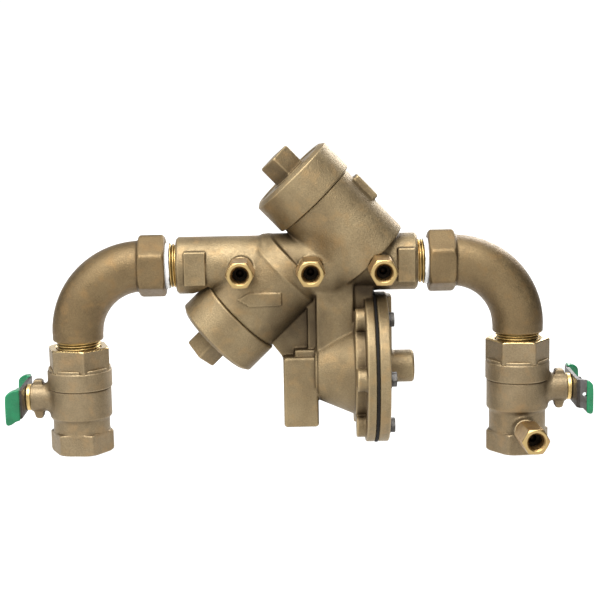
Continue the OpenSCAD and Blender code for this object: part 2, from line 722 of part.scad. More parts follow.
module cock_body() color(brass) difference() {
    union() {
        translate([0, 0, -cock_thread_length]) cylinder(r = cock_thread_r, h = cock_thread_length);
        cylinder(r = cock_neck_r, h = cock_neck + 1);
        translate([0, 0, cock_neck]) hexagon(cock_hex, cock_length - cock_neck, cock_corner_r, 0.7);
    }
    translate([0, 0, -cock_thread_length - 1]) cylinder(r = cock_way_r, h = cock_length);
    translate([0, 0, cock_cavity[0]]) cylinder(r = cock_cavity_r, h = cock_cavity[1] - cock_cavity[0]);
    translate([0, 0, cock_length - cock_port_depth]) cylinder(r = cock_port_r, h = cock_port_depth + 1);
    translate([0, 0, cock_ball_z]) rotate([90, 0, 0]) cylinder(r = cock_stem_r + slide_fit, h = 12);
}

// The ball stands closed: its opening lies across the cock
module cock_ball() color(stainless) translate([0, 0, cock_ball_z]) rotate([0, 0, 90]) difference() {
    sphere(r = cock_ball_r);
    rotate([90, 0, 0]) cylinder(r = 2, h = 12, center = true);
    translate([-6, -0.75, -6]) cube([3, 1.5, 12]);
}

// Stem with a tongue in the ball and a screwdriver slot below the hexagon
module cock_stem() color(brass) translate([0, 0, cock_ball_z]) difference() {
    union() {
        rotate([90, 0, 0]) translate([0, 0, 5.1]) cylinder(r = cock_stem_r, h = 4.9);
        translate([-0.7, -5.3, -2]) cube([1.4, 2.2, 4]);
    }
    translate([-4, -11, -0.5]) cube([8, 2.2, 1]);
}

module cock_seats() color(ptfe) translate([0, 0, cock_ball_z]) for (turn = [0, 180]) rotate([turn, 0, 0])
    turned([[3.95, 3.3], [cock_cavity_r - 0.02, 3.3], [cock_cavity_r - 0.02, 6.4], [2.8, 6.4], [2.8, 4.4]]);

// ---- nodes ----

body();
on_inlet_barrel() check_seat();  // check_seat_inlet
on_outlet_barrel() check_seat();  // check_seat_outlet
on_inlet_barrel() check_poppet(inlet_seam);  // check_poppet_inlet
on_outlet_barrel() check_poppet(outlet_seam);  // check_poppet_outlet
on_inlet_barrel() check_disc();  // check_disc_inlet
on_outlet_barrel() check_disc();  // check_disc_outlet
on_inlet_barrel() disc_retainer();  // disc_retainer_inlet
on_outlet_barrel() disc_retainer();  // disc_retainer_outlet
on_inlet_barrel() check_spring(inlet_seam);  // check_spring_inlet
on_outlet_barrel() check_spring(outlet_seam);  // check_spring_outlet
on_inlet_barrel() check_cap(inlet_seam);  // check_cap_inlet
on_outlet_barrel() check_cap(outlet_seam);  // check_cap_outlet
cap_o_rings();
relief_seat();
relief_stem();
relief_seal_disc();
relief_spring();
diaphragm_plates();
relief_diaphragm();
relief_cover();
cover_bolts();
inlet_elbow();
outlet_elbow();
thread_tape();
at_cock(1) cock_body();  // test_cock_1_body
at_cock(1) cock_ball();  // test_cock_1_ball
at_cock(1) cock_stem();  // test_cock_1_stem
at_cock(2) cock_body();  // test_cock_2_body
at_cock(2) cock_ball();  // test_cock_2_ball
at_cock(2) cock_stem();  // test_cock_2_stem
at_cock(3) cock_body();  // test_cock_3_body
at_cock(3) cock_ball();  // test_cock_3_ball
at_cock(3) cock_stem();  // test_cock_3_stem
at_cock(4) cock_body();  // test_cock_4_body
at_cock(4) cock_ball();  // test_cock_4_ball
at_cock(4) cock_stem();  // test_cock_4_stem
for (number = [1:4]) at_cock(number) cock_seats();  // test_cock_seats
inlet_valve_body();
at_inlet_valve() valve_adapter(-5.5);  // inlet_valve_adapter
at_inlet_valve() ball_seats();  // inlet_ball_seats
at_inlet_valve() valve_ball();  // inlet_ball
at_inlet_valve() valve_stem();  // inlet_stem
at_inlet_valve() stem_packing();  // inlet_stem_packing
at_inlet_valve() gland();  // inlet_gland
at_inlet_valve() handle();  // inlet_handle
at_inlet_valve() handle_grips(47);  // inlet_handle_grips
at_inlet_valve() handle_nut();  // inlet_handle_nut
outlet_valve_body();
at_outlet_valve() valve_adapter(-14.5);  // outlet_valve_adapter
at_outlet_valve() ball_seats();  // outlet_ball_seats
at_outlet_valve() valve_ball();  // outlet_ball
at_outlet_valve() valve_stem();  // outlet_stem
at_outlet_valve() stem_packing();  // outlet_stem_packing
at_outlet_valve() gland();  // outlet_gland
at_outlet_valve() handle();  // outlet_handle
at_outlet_valve() handle_grips(44.5);  // outlet_handle_grips
at_outlet_valve() handle_nut();  // outlet_handle_nut
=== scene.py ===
"""Looks of the one-inch reduced-pressure backflow preventer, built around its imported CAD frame.

The castings, forgings and grips are grown as distance fields and meshed, so that their fillets, rounded
edges and machined faces are real geometry. Places come from the frame's joints and mounts, and the sizes
below are in millimetres, as on the drawing of the part.
"""

import json
import math

import bpy
import numpy as np
from mathutils import Matrix, Vector


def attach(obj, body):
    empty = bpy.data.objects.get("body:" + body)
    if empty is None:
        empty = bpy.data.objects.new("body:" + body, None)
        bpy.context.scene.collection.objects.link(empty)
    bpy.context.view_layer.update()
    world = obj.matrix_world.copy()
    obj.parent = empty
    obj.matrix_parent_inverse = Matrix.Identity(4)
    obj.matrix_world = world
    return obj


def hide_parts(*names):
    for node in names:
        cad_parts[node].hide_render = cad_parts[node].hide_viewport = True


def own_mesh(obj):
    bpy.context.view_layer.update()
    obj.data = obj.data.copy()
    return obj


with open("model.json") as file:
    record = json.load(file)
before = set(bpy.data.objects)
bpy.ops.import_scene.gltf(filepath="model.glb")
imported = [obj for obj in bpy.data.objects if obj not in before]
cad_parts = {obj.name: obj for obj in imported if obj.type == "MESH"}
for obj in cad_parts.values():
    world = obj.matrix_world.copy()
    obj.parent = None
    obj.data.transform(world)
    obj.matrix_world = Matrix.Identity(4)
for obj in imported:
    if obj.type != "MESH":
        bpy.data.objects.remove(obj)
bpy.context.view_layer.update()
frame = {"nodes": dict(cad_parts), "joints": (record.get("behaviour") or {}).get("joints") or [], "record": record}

MM = 0.001
joints = {j["name"]: j for j in frame["joints"]}
mounts = {m["name"]: m for m in frame["record"]["mounts"]}


# ---- places ----

class Place:
    """A local frame in millimetres: its origin, and where its x and z axes point in the row frame."""

    def __init__(self, origin, x, z):
        self.origin = np.array(origin, float)
        x, z = (np.array(v, float) / np.linalg.norm(v) for v in (x, z))
        self.axes = np.array([x, np.cross(z, x), z])

    def out(self, points):
        """Local points in the frame that this place stands in."""
        return np.asarray(points, float) @ self.axes + self.origin

    def within(self, outer):
        """This place, which stands in outer, as a place in the row frame."""
        axes = self.axes @ outer.axes
        return Place(outer.out(self.origin), axes[0], axes[2])


def moved(place, x=0.0, y=0.0, z=0.0, turn=0.0):
    """The place moved along its own axes, then turned about its own z by degrees."""
    a = math.radians(turn)
    axes = place.axes
    return Place(place.out((x, y, z)), math.cos(a) * axes[0] + math.sin(a) * axes[1], axes[2])


leg_spacing = -mounts["outlet_port"]["pos_m"][0] / MM
run_height = joints["test_cock_3_turn"]["pos_m"][2] / MM
outlet_rise = mounts["outlet_port"]["pos_m"][2] / MM
stem_height = joints["inlet_shutoff_turn"]["pos_m"][2] / MM

# Sizes that several pieces share
relief_drop = 79.8      # from the run's axis down to the relief valve's
run_ends = 89.5         # from the run's middle out to the shoulders of its threads
valve_rise = 38.5       # from the stem's axis up to the top of a ball valve
boss_reach = 25         # from the run's axis out to the faces of the test cocks' bosses
cock_length = 33        # from a boss out to the mouth of its test cock
thread_core_r = 15.3    # one-inch pipe thread
thread_crest_r = 16.7
thread_pitch = 2.209
valve_top = stem_height + valve_rise

# The places below stand in the run's own frame
UP = (0, 0, 1)
HERE = Place((0, 0, 0), (1, 0, 0), UP)
ALONG_X = Place((0, 0, 0), (0, 0, -1), (1, 0, 0))
RELIEF = Place((0, 0, -relief_drop), (0, 0, -1), (1, 0, 0))
inlet_axis = joints["inlet_check_opens"]["axis"]
outlet_axis = joints["outlet_check_opens"]["axis"]
INLET_BARREL = Place((59.3, 0, 0), (inlet_axis[2], 0, -inlet_axis[0]), inlet_axis)
OUTLET_BARREL = Place((-3.6, 0, 0), (outlet_axis[2], 0, -outlet_axis[0]), outlet_axis)

# These stand in the row frame
RUN = Place((-leg_spacing / 2, 0, run_height), (1, 0, 0), UP)
INLET_LEG = Place((0, 0, 0), (1, 0, 0), UP)
OUTLET_LEG = Place((-leg_spacing, 0, 0), (-1, 0, 0), UP)


def cock_place(number):
    """z out of the cock's mouth, starting at the face of its boss; y up."""
    mouth = mounts[f"test_cock_{number}_port"]
    out = np.array(mouth["axis"], float)
    start = np.array(mouth["pos_m"], float) / MM - out * cock_length
    return Place(start, np.cross(UP, out), out)


# ---- distance fields ----

def span(value, low, high):
    """Distance to a span of values, negative within it."""
    return np.abs(value - (low + high) / 2) - (high - low) / 2


def rounded(a, b, edge):
    """Where a and b are both negative, with the edge between them rounded."""
    if not edge:
        return np.maximum(a, b)
    a, b = a + edge, b + edge
    return np.hypot(np.maximum(a, 0), np.maximum(b, 0)) + np.minimum(np.maximum(a, b), 0) - edge


def chamfered(a, b, edge):
    """Where a and b are both negative, with the edge between them cut at 45 degrees."""
    return np.maximum(np.maximum(a, b), (a + b + edge) * math.sqrt(0.5))


def cylinder(r, z0, z1, edge=0.0, r_end=None, join=rounded):
    """A cylinder along z, or a cone if r_end is given."""
    r_end = r if r_end is None else r_end
    slope = (r_end - r) / (z1 - z0)
    tilt = 1 / math.hypot(1, slope)
    widest = max(r, r_end)

    def distance(x, y, z):
        side = (np.hypot(x, y) - r - slope * (z - z0)) * tilt
        return join(side, span(z, z0, z1), edge)

    return (-widest, -widest, z0), (widest, widest, z1), distance


def ring(r_in, r_out, z0, z1):
    """A flat ring along z."""
    def distance(x, y, z):
        return np.maximum(span(np.hypot(x, y), r_in, r_out), span(z, z0, z1))

    return (-r_out, -r_out, z0), (r_out, r_out, z1), distance


def block(low, high, edge=0.0):
    """A box between two corners, its edges rounded."""
    middle = [(a + b) / 2 for a, b in zip(low, high)]
    half = [(b - a) / 2 - edge for a, b in zip(low, high)]

    def distance(x, y, z):
        q = [np.abs(v - m) - h for v, m, h in zip((x, y, z), middle, half)]
        out = np.sqrt(sum(np.maximum(v, 0) ** 2 for v in q))
        return out + np.minimum(np.maximum(np.maximum(q[0], q[1]), q[2]), 0) - edge

    return low, high, distance


def prism(outline, y0, y1, edge=0.0):
    """A convex outline in x and z, clockwise seen from the front, between two places along y."""
    outline = np.array(outline, float)
    turned_on = np.roll(outline, -1, 0) - outline
    outward = np.stack([-turned_on[:, 1], turned_on[:, 0]], 1)
    outward /= np.linalg.norm(outward, axis=1)[:, None]

    def distance(x, y, z):
        side = None
        for (px, pz), (nx, nz) in zip(outline, outward):
            d = (x - px) * nx + (z - pz) * nz
            side = d if side is None else smooth_max(side, d, edge)
        return rounded(side, span(y, y0, y1), edge)

    low, high = outline.min(0), outline.max(0)
    return (low[0], y0, low[1]), (high[0], y1, high[1]), distance


def hexagon(flats, z0, z1, corner_r, low_chamfer, high_chamfer, edge=0.6):
    """A hexagon along z with a corner towards x, its corners turned down to corner_r and chamfered."""
    def distance(x, y, z):
        side = np.abs(y)
        for a in (60, -60):
            c, s = math.cos(math.radians(a)), math.sin(math.radians(a))
            side = smooth_max(side, np.abs(y * c + x * s), edge)
        ends = span(z, z0, z1)
        radius = np.hypot(x, y)
        chamfer = np.where(z < (z0 + z1) / 2, low_chamfer, high_chamfer)
        turned_down = np.maximum(radius - corner_r, (radius - corner_r + chamfer + ends * 1.2) * 0.8)
        return smooth_max(rounded(side - flats / 2, ends, edge), turned_down, edge)

    far = flats * 0.6
    return (-far, -far, z0), (far, far, z1), distance


def bent_tube(bend_r, r):
    """A quarter of a bend about y, in x > 0 and z > 0."""
    def distance(x, y, z):
        return np.maximum(np.hypot(np.hypot(x, z) - bend_r, y) - r, np.maximum(-x, -z))

    far = bend_r + r
    return (0, -r, 0), (far, r, far), distance


def smooth_min(a, b, k):
    """The smaller of two fields, which is what joins two shapes, with a fillet of about k."""
    if not k:
        return np.minimum(a, b)
    return np.minimum(a, b) - np.maximum(k - np.abs(a - b), 0) ** 2 / (4 * k)


def smooth_max(a, b, k):
    """The larger of two fields, with the edge between them rounded over about k."""
    return -smooth_min(-a, -b, k)


def outline_distance(outline, u, v):
    """Distance of the points (u, v) to a closed outline, negative inside it."""
    nearest, inside = None, False
    for (au, av), (bu, bv) in zip(outline, outline[1:] + outline[:1]):
        eu, ev = bu - au, bv - av
        wu, wv = u - au, v - av
        t = np.clip((wu * eu + wv * ev) / (eu * eu + ev * ev), 0, 1)
        away = (wu - eu * t) ** 2 + (wv - ev * t) ** 2
        nearest = away if nearest is None else np.minimum(nearest, away)
        inside = inside ^ (((av > v) != (bv > v)) & (wu < wv * (eu / (ev or 1))))
    return np.where(inside, -1, 1) * np.sqrt(nearest)


def turned(outline):
    """A solid of revolution about z from its outline as (radius, z)."""
    far = max(r for r, _ in outline)
    low, high = min(z for _, z in outline), max(z for _, z in outline)
    return (-far, -far, low), (far, far, high), lambda x, y, z: outline_distance(outline, np.hypot(x, y), z)


def plate(outline, y0, y1):
    """Any outline in x and z between two places along y."""
    def distance(x, y, z):
        return np.maximum(outline_distance(outline, x, z), span(y, y0, y1))

    xs, zs = zip(*outline)
    return (min(xs), y0, min(zs)), (max(xs), y1, max(zs)), distance


def threaded_hole(r, z0, z1, pitch, depth):
    """A right-hand female thread along z, to be cut."""
    def distance(x, y, z):
        turn = (z / pitch - np.arctan2(y, x) / (2 * math.pi)) % 1
        side = np.hypot(x, y) - r - depth * np.abs(2 * turn - 1)
        return np.maximum(side, span(z, z0, z1))

    far = r + depth
    return (-far, -far, z0), (far, far, z1), distance


def both(a, b):
    """What two shapes have in common."""
    low = [max(v) for v in zip(a[0], b[0])]
    high = [min(v) for v in zip(a[1], b[1])]
    return low, high, lambda x, y, z: np.maximum(a[2](x, y, z), b[2](x, y, z))


class Solid:
    """A solid as a distance field on a grid: shapes are added and cut with a fillet between them."""

    FAR = 12.0  # fields are right this far out, which is further than any fillet reaches

    def __init__(self, low, high, step):
        self.step = step
        # An odd share of a step, so that no flat face falls on the grid's own planes
        self.low = np.array(low, float) - 3.37 * step
        count = np.ceil((np.array(high) - self.low) / step).astype(int) + 4
        self.field = np.full(count, self.FAR, np.float32)

    def _near(self, place, low, high, margin):
        """The part of the grid near a local box, and its points in local coordinates."""
        corners = place.out([(x, y, z) for x in (low[0], high[0]) for y in (low[1], high[1])
                             for z in (low[2], high[2])])
        first = np.floor((corners.min(0) - margin - self.low) / self.step).astype(int)
        last = np.ceil((corners.max(0) + margin - self.low) / self.step).astype(int) + 1
        first, last = np.maximum(first, 0), np.minimum(last, self.field.shape)
        grid = np.ogrid[tuple(slice(a, b) for a, b in zip(first, last))]
        apart = [(g * self.step + self.low[i] - place.origin[i]).astype(np.float32)
                 for i, g in enumerate(grid)]
        local = [sum(row[i] * apart[i] for i in range(3) if abs(row[i]) > 1e-9) for row in place.axes]
        return tuple(slice(a, b) for a, b in zip(first, last)), local

    def add(self, place, shape, fillet=0.0):
        low, high, distance = shape
        part, points = self._near(place, low, high, self.FAR)
        self.field[part] = smooth_min(self.field[part], distance(*points), fillet)

    def cut(self, place, shape, fillet=0.0):
        low, high, distance = shape
        part, points = self._near(place, low, high, fillet + 3 * self.step)
        self.field[part] = smooth_max(self.field[part], -distance(*points), fillet)

    def soften(self, spread):
        """Round every edge over about that many millimetres."""
        band = 4 * self.step
        np.clip(self.field, -band, band, out=self.field)
        for _ in range(round(2 * (spread / self.step) ** 2)):
            for axis in range(3):
                f = np.moveaxis(self.field, axis, 0)
                f[1:-1] = 0.25 * (f[:-2] + f[2:]) + 0.5 * f[1:-1]

    def surface(self):
        """Points and quads where the field is zero, by surface nets."""
        f = self.field
        inside = f < 0
        some, every = inside[:-1, :-1, :-1].copy(), inside[:-1, :-1, :-1].copy()
        corners = [(i, j, k) for i in (0, 1) for j in (0, 1) for k in (0, 1)]
        for i, j, k in corners[1:]:
            shifted = inside[i:i - 1 or None, j:j - 1 or None, k:k - 1 or None]
            some |= shifted
            every &= shifted
        cells = np.argwhere(some & ~every)
        place_in = np.zeros((len(cells), 3))
        crossings = np.zeros(len(cells))
        for a in corners:
            for axis in range(3):
                if a[axis]:
                    continue
                b = list(a)
                b[axis] = 1
                fa = f[tuple((cells + a).T)]
                fb = f[tuple((cells + b).T)]
                cross = (fa < 0) != (fb < 0)
                t = np.where(cross, fa / np.where(cross, fa - fb, 1), 0)
                place_in[cross] += np.array(a)
                place_in[cross, axis] += t[cross]
                crossings += cross
        points = cells + place_in / crossings[:, None]
        index = np.full(np.array(f.shape) - 1, -1, np.int32)
        index[tuple(cells.T)] = np.arange(len(cells))
        quads = []
        for axis in range(3):
            u, v = [a for a in range(3) if a != axis]
            low = [slice(1, -1)] * 3
            low[axis] = slice(0, -1)
            high = list(low)
            high[axis] = slice(1, None)
            a, b = inside[tuple(low)], inside[tuple(high)]
            for edges, turned_round in ((a & ~b, False), (b & ~a, True)):
                at = np.argwhere(edges)
                at[:, [u, v]] += 1
                steps = [(0, 0), (-1, 0), (-1, -1), (0, -1)]
                if turned_round == (axis != 1):
                    steps = steps[::-1]
                ring_of = []
                for step in steps:
                    cell = at.copy()
                    cell[:, [u, v]] += step
                    ring_of.append(index[tuple(cell.T)])
                quads.append(np.stack(ring_of, 1))
        return points * self.step + self.low, np.concatenate(quads)


# ---- meshes and pieces ----

coarse = 1.0


def new_mesh(name, points, faces, place=HERE):
    """A smooth mesh from points in millimetres that stand in a place of the row frame."""
    mesh = bpy.data.meshes.new(name)
    points = place.out(points) * MM
    faces = np.asarray(faces)
    mesh.vertices.add(len(points))
    mesh.vertices.foreach_set("co", points.astype(np.float32).ravel())
    mesh.loops.add(faces.size)
    mesh.loops.foreach_set("vertex_index", faces.astype(np.int32).ravel())
    mesh.polygons.add(len(faces))
    mesh.polygons.foreach_set("loop_start", np.arange(0, faces.size, faces.shape[1], dtype=np.int32))
    mesh.update(calc_edges=True)
    mesh.polygons.foreach_set("use_smooth", np.ones(len(faces), bool))
    mesh.validate()
    return mesh


def new_object(name, data):
    """An object in the scene."""
    thing = bpy.data.objects.new(name, data)
    bpy.context.scene.collection.objects.link(thing)
    return thing


def new_piece(name, mesh, slot, body="casting", replaces=(), material=None):
    """A piece that rides on a body, in the place of the CAD nodes that it replaces."""
    piece = new_object(name, mesh)
    mesh.materials.append(material or looks[slot])
    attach(piece, body)
    if replaces:
        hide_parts(*replaces)
    return piece


def grown(name, place, low, high, step, grow, slot, replaces=(), body="casting", soft=0.0, material=None):
    """A piece grown between two corners of a place: grow adds its shapes to the solid."""
    solid = Solid(low, high, step * coarse)
    grow(solid)
    solid.soften(soft)
    new_piece(name, new_mesh(name, *solid.surface(), place), slot, body, replaces, material)


def swept(rings, closed):
    """Points and quads of a skin over rings of points, which is closed on itself or ended flat."""
    count, sides = rings.shape[:2]
    i, k = np.meshgrid(np.arange(count if closed else count - 1), np.arange(sides), indexing="ij")
    after, beside = (i + 1) % count, (k + 1) % sides
    quads = np.stack([i * sides + k, i * sides + beside, after * sides + beside, after * sides + k], -1)
    quads = quads.reshape(-1, 4)
    if not closed:
        k = np.arange(sides // 2 - 1)
        end = np.stack([k, sides - 1 - k, sides - 2 - k, k + 1], 1)
        quads = np.concatenate([quads, end, end[:, ::-1] + (count - 1) * sides])
    return rings.reshape(-1, 3), quads


def spun(rows, sides=96):
    """Rings about z: each row gives radius and z, which may vary with the angle."""
    a = np.arange(sides) * 2 * math.pi / sides
    rings = [np.stack([r * np.cos(a), r * np.sin(a), z + 0 * a], 1)
             for r, z in ((row(a) if callable(row) else row) for row in rows)]
    return swept(np.array(rings), True)


def male_thread(r_core, r_crest, r_bore, length, pitch):
    """A right-hand pipe thread along z, with a bore through it."""
    taper = 1 / 32

    def row(z, depth):
        def at(a):
            turn = (z / pitch - a / (2 * math.pi)) % 1
            return r_core - z * taper + depth * (1 - np.abs(2 * turn - 1)), z
        return at

    steps = math.ceil(length / pitch * 8)
    from_end = np.minimum(np.arange(steps + 1), steps - np.arange(steps + 1))
    depths = (r_crest - r_core) * np.minimum(1, from_end / 6)
    rows = [row(i * length / steps, depth) for i, depth in enumerate(depths)]
    return spun([(r_bore, 0)] + rows + [(r_bore, length)])


def coil(coil_r, wire_r, z0, z1, turns, sides=12):
    """A compression spring along z whose end turns lie flat."""
    t = np.linspace(0, turns, turns * 40 + 1)
    flat = 0.8
    rise = z0 + wire_r + np.clip((t - flat) / (turns - 2 * flat), 0, 1) * (z1 - z0 - 2 * wire_r)
    a = t * 2 * math.pi
    b = np.arange(sides) * 2 * math.pi / sides
    r = coil_r + wire_r * np.cos(b)[None]
    z = rise[:, None] - wire_r * np.sin(b)[None]
    return swept(np.stack([r * np.cos(a)[:, None], r * np.sin(a)[:, None], z], -1), False)


# ---- materials ----

class Look:
    """A node material: a few short ways to add the nodes that it needs."""

    def __init__(self, name, metallic, colour, roughness):
        self.material = bpy.data.materials.new(name)
        self.material.use_nodes = True
        tree = self.material.node_tree
        self.nodes, self.links = tree.nodes, tree.links
        self.shader = self.nodes["Principled BSDF"]
        self.set("Metallic", metallic)
        self.set("Base Color", (*colour, 1))
        self.set("Roughness", roughness)
        self.where = self.new("ShaderNodeTexCoord").outputs["Object"]

    def new(self, kind, inputs=(), **settings):
        """A node whose inputs are linked, if given as sockets, or set."""
        node = self.nodes.new(kind)
        for key, value in settings.items():
            setattr(node, key, value)
        for key, value in dict(inputs).items():
            if isinstance(value, bpy.types.NodeSocket):
                self.links.new(value, node.inputs[key])
            else:
                node.inputs[key].default_value = value
        return node

    def set(self, socket, value):
        self.shader.inputs[socket].default_value = value

    def feed(self, socket, value):
        self.links.new(value, self.shader.inputs[socket])

    def rough(self, size, low, high):
        """Roughness that wanders about two values, in patches of about size in millimetres."""
        self.feed("Roughness", self.map(self.noise(size, 3), 0.3, 0.7, low, high))

    def noise(self, size, detail=3.0, stretch=None):
        """Noise from 0 to 1 with features of about that size in millimetres."""
        where = self.where
        if stretch:
            where = self.new("ShaderNodeMapping", {"Vector": where, "Scale": stretch}).outputs[0]
        return self.new("ShaderNodeTexNoise", {"Vector": where, "Scale": 1 / (size * MM),
                                               "Detail": detail}).outputs["Fac"]

    def map(self, value, low, high, to_low=0.0, to_high=1.0):
        return self.new("ShaderNodeMapRange", {0: value, 1: low, 2: high, 3: to_low, 4: to_high}).outputs[0]

    def math(self, operation, a, b):
        return self.new("ShaderNodeMath", {0: a, 1: b}, operation=operation).outputs[0]

    def mix(self, share, a, b, blend_type="MIX"):
        a, b = (v if isinstance(v, bpy.types.NodeSocket) else (*v, 1) for v in (a, b))
        return self.new("ShaderNodeMix", {0: share, 6: a, 7: b}, data_type="RGBA",
                        blend_type=blend_type).outputs[2]

    def grey(self, value):
        return self.new("ShaderNodeCombineColor", {0: value, 1: value, 2: value}).outputs[0]

    def bump(self, layers):
        """Relief from layers of (height, depth in millimetres)."""
        normal = None
        for height, depth in layers:
            inputs = {"Height": height, "Distance": depth * MM, "Strength": 1.0}
            if normal:
                inputs["Normal"] = normal
            normal = self.new("ShaderNodeBump", inputs).outputs[0]
        self.feed("Normal", normal)

    def grime(self, colour, dark, reach):
        """The colour, darker in corners and holes about that deep in millimetres: painted shade."""
        node = self.new("ShaderNodeAmbientOcclusion", {"Distance": reach * MM}, samples=6, only_local=True)
        return self.mix(self.map(node.outputs["AO"], 0.92, 0.35), colour, dark)

    def worn(self, colour, bright, dark):
        """The colour, brighter on outside edges as wear and a painted highlight, and darker in corners as painted
        shade.
        """
        sharp = self.new("ShaderNodeNewGeometry").outputs["Pointiness"]
        colour = self.mix(self.map(sharp, 0.512, 0.56), colour, bright)
        return self.mix(self.map(sharp, 0.494, 0.44), colour, dark)

    def away_from(self, point):
        """Distance in metres to a point of the row frame."""
        return self.new("ShaderNodeVectorMath", {0: self.where, 1: tuple(point)},
                        operation="DISTANCE").outputs["Value"]

    def past(self, axis, level):
        """1 where the coordinate in millimetres along an axis (0, 1 or 2) is above the level."""
        value = self.new("ShaderNodeSeparateXYZ", {0: self.where}).outputs[axis]
        return self.math("GREATER_THAN", value, level * MM)


MACHINED = (0.60, 0.435, 0.195)
# The dark brown that the painted shadows fade to
SHADOW_BROWN = (0.030, 0.018, 0.008)


def casting_look(name, light, dark, bare=None, painted_shadow_patches=()):
    """Bead-blasted bronze. Where bare(look) is 1 it has been machined to bright metal.

    Each entry of the last argument is a painted shadow: a place in the run's frame, a radius and how dark it gets.
    """
    look = Look(name, 1.0, light, 0.5)
    mottle = look.map(look.noise(24, 5), 0.35, 0.68)
    colour = look.mix(mottle, dark, light)
    grain = look.noise(1.0, 3)
    colour = look.mix(1.0, colour, look.grey(look.map(grain, 0.25, 0.75, 0.80, 1.14)), "MULTIPLY")
    warm = tuple(c * f for c, f in zip(light, (1.06, 0.94, 0.80)))
    colour = look.mix(look.map(look.noise(9, 4), 0.52, 0.72, 0, 0.7), colour, warm)
    # corner is painted shade for corners and hollows; edge is the edges' brightness, partly wear and partly
    # painted highlight
    corner = tuple(0.34 * c * f for c, f in zip(dark, (1.05, 0.92, 0.8)))
    edge = tuple(min(1.0, 1.5 * c) for c in light)
    colour = look.grime(look.worn(colour, edge, corner), corner, 19)
    # Painted shadows with ragged edges, darkest at their middles
    for *middle, radius, share in painted_shadow_patches:
        radius *= MM
        ragged = look.map(look.noise(12, 4), 0.3, 0.7, -0.1 * radius, 0.1 * radius)
        away = look.math("ADD", look.away_from(RUN.out(middle) * MM), ragged)
        colour = look.mix(look.map(away, 0.35 * radius, radius, share, 0), colour, SHADOW_BROWN)
    rough = look.map(look.noise(3, 4), 0.3, 0.7, 0.48, 0.64)
    grit = look.map(grain, 0.2, 0.8)
    if bare:
        bare = bare(look)
        colour = look.mix(bare, colour, MACHINED)
        rough = look.map(bare, 0, 1, rough, 0.25)
        grit = look.math("MULTIPLY", grit, look.math("SUBTRACT", 1.0, bare))
    look.feed("Base Color", colour)
    look.feed("Roughness", rough)
    look.set("Coat Weight", 0.25)
    look.set("Coat Roughness", 0.5)
    look.bump([(look.noise(7, 3), 0.14), (grit, 0.16)])
    return look.material


def machined_look(name, light, dark, lines=(1, 1, 1), worn=True, dull=0.2):
    """Turned or milled metal with fine tool lines."""
    look = Look(name, 1.0, light, 0.3)
    stain = look.map(look.noise(5, 4), 0.35, 0.7)
    colour = look.mix(stain, dark, light)
    # Painted shade in corners and holes, and brighter edges as wear and painted highlight
    deep = tuple(0.12 * c for c in dark)
    if worn:
        bright = tuple(min(1.0, 1.5 * c) for c in light)
        colour = look.worn(colour, bright, tuple(0.45 * c for c in dark))
    look.feed("Base Color", look.grime(colour, deep, 7))
    look.rough(1.6, dull, dull + 0.2)
    look.bump([(look.noise(0.5, 2, lines), 0.02)])
    return look.material


def rubber_look(name):
    """Black rubber with a dull skin."""
    look = Look(name, 0.0, (0.02, 0.02, 0.02), 0.6)
    look.feed("Base Color", look.mix(look.noise(4, 4), (0.005, 0.004, 0.004), (0.016, 0.014, 0.012)))
    look.rough(1.5, 0.65, 0.85)
    look.set("Specular IOR Level", 0.12)
    look.bump([(look.noise(0.6, 2), 0.03)])
    return look.material


def plastic_look(name, light, dark, roughness, wave_mm, depth, shine=0.5):
    """Plain plastic with a faint mottle and a fine skin."""
    look = Look(name, 0.0, light, roughness)
    look.feed("Base Color", look.mix(look.map(look.noise(8, 3), 0.3, 0.7), dark, light))
    look.rough(2, roughness * 0.8, roughness * 1.25)
    look.set("Specular IOR Level", shine)
    look.bump([(look.noise(wave_mm, 2), depth)])
    return look.material


def vinyl_look(name):
    """Green vinyl from a dip: glossy, slightly uneven, thinner and lighter over edges."""
    look = Look(name, 0.0, (0.004, 0.20, 0.075), 0.3)
    green = look.mix(look.map(look.noise(9, 3), 0.3, 0.7), (0.002, 0.098, 0.036), (0.004, 0.150, 0.056))
    # Lighter over edges where the dip is thin, and darker in corners as painted shade
    look.feed("Base Color", look.worn(green, (0.012, 0.21, 0.09), (0.001, 0.05, 0.02)))
    look.rough(3, 0.24, 0.38)
    look.set("Specular IOR Level", 0.35)
    look.set("Coat Weight", 0.15)
    look.set("Coat Roughness", 0.08)
    look.bump([(look.noise(3.5, 2), 0.08), (look.noise(0.8, 2), 0.012)])
    return look.material


def cock_look(number):
    """Turned brass: the sides are duller and browner than the face around the port."""
    look = Look(f"cock_brass_{number}", 1.0, (0.36, 0.235, 0.10), 0.36)
    sides = look.mix(look.map(look.noise(4, 4), 0.35, 0.7), (0.34, 0.215, 0.10), (0.46, 0.315, 0.135))
    port = mounts[f"test_cock_{number}_port"]["pos_m"]
    face = look.math("SUBTRACT", 1.0, look.past(1, port[1] / MM + 0.6))
    colour = look.mix(face, sides, (0.43, 0.305, 0.130))
    # The countersink and the threads behind it are darker: painted shade inside the mouth
    mouth_shade = look.map(look.away_from(port), 6.2 * MM, 7.1 * MM, 1, 0)
    colour = look.mix(mouth_shade, colour, (0.20, 0.125, 0.050))
    # Painted shade in the hole and in corners
    look.feed("Base Color", look.grime(colour, (0.110, 0.068, 0.028), 5))
    look.rough(1.6, 0.28, 0.45)
    look.bump([(look.noise(0.5, 2), 0.02)])
    return look.material


def run_shoulders(look):
    """The faces where the run has been turned down for its threads."""
    x = look.new("ShaderNodeSeparateXYZ", {0: look.where}).outputs[0]
    away = look.math("ABSOLUTE", look.math("SUBTRACT", x, RUN.origin[0] * MM), 0.0)
    return look.math("GREATER_THAN", away, (run_ends - 0.3) * MM)


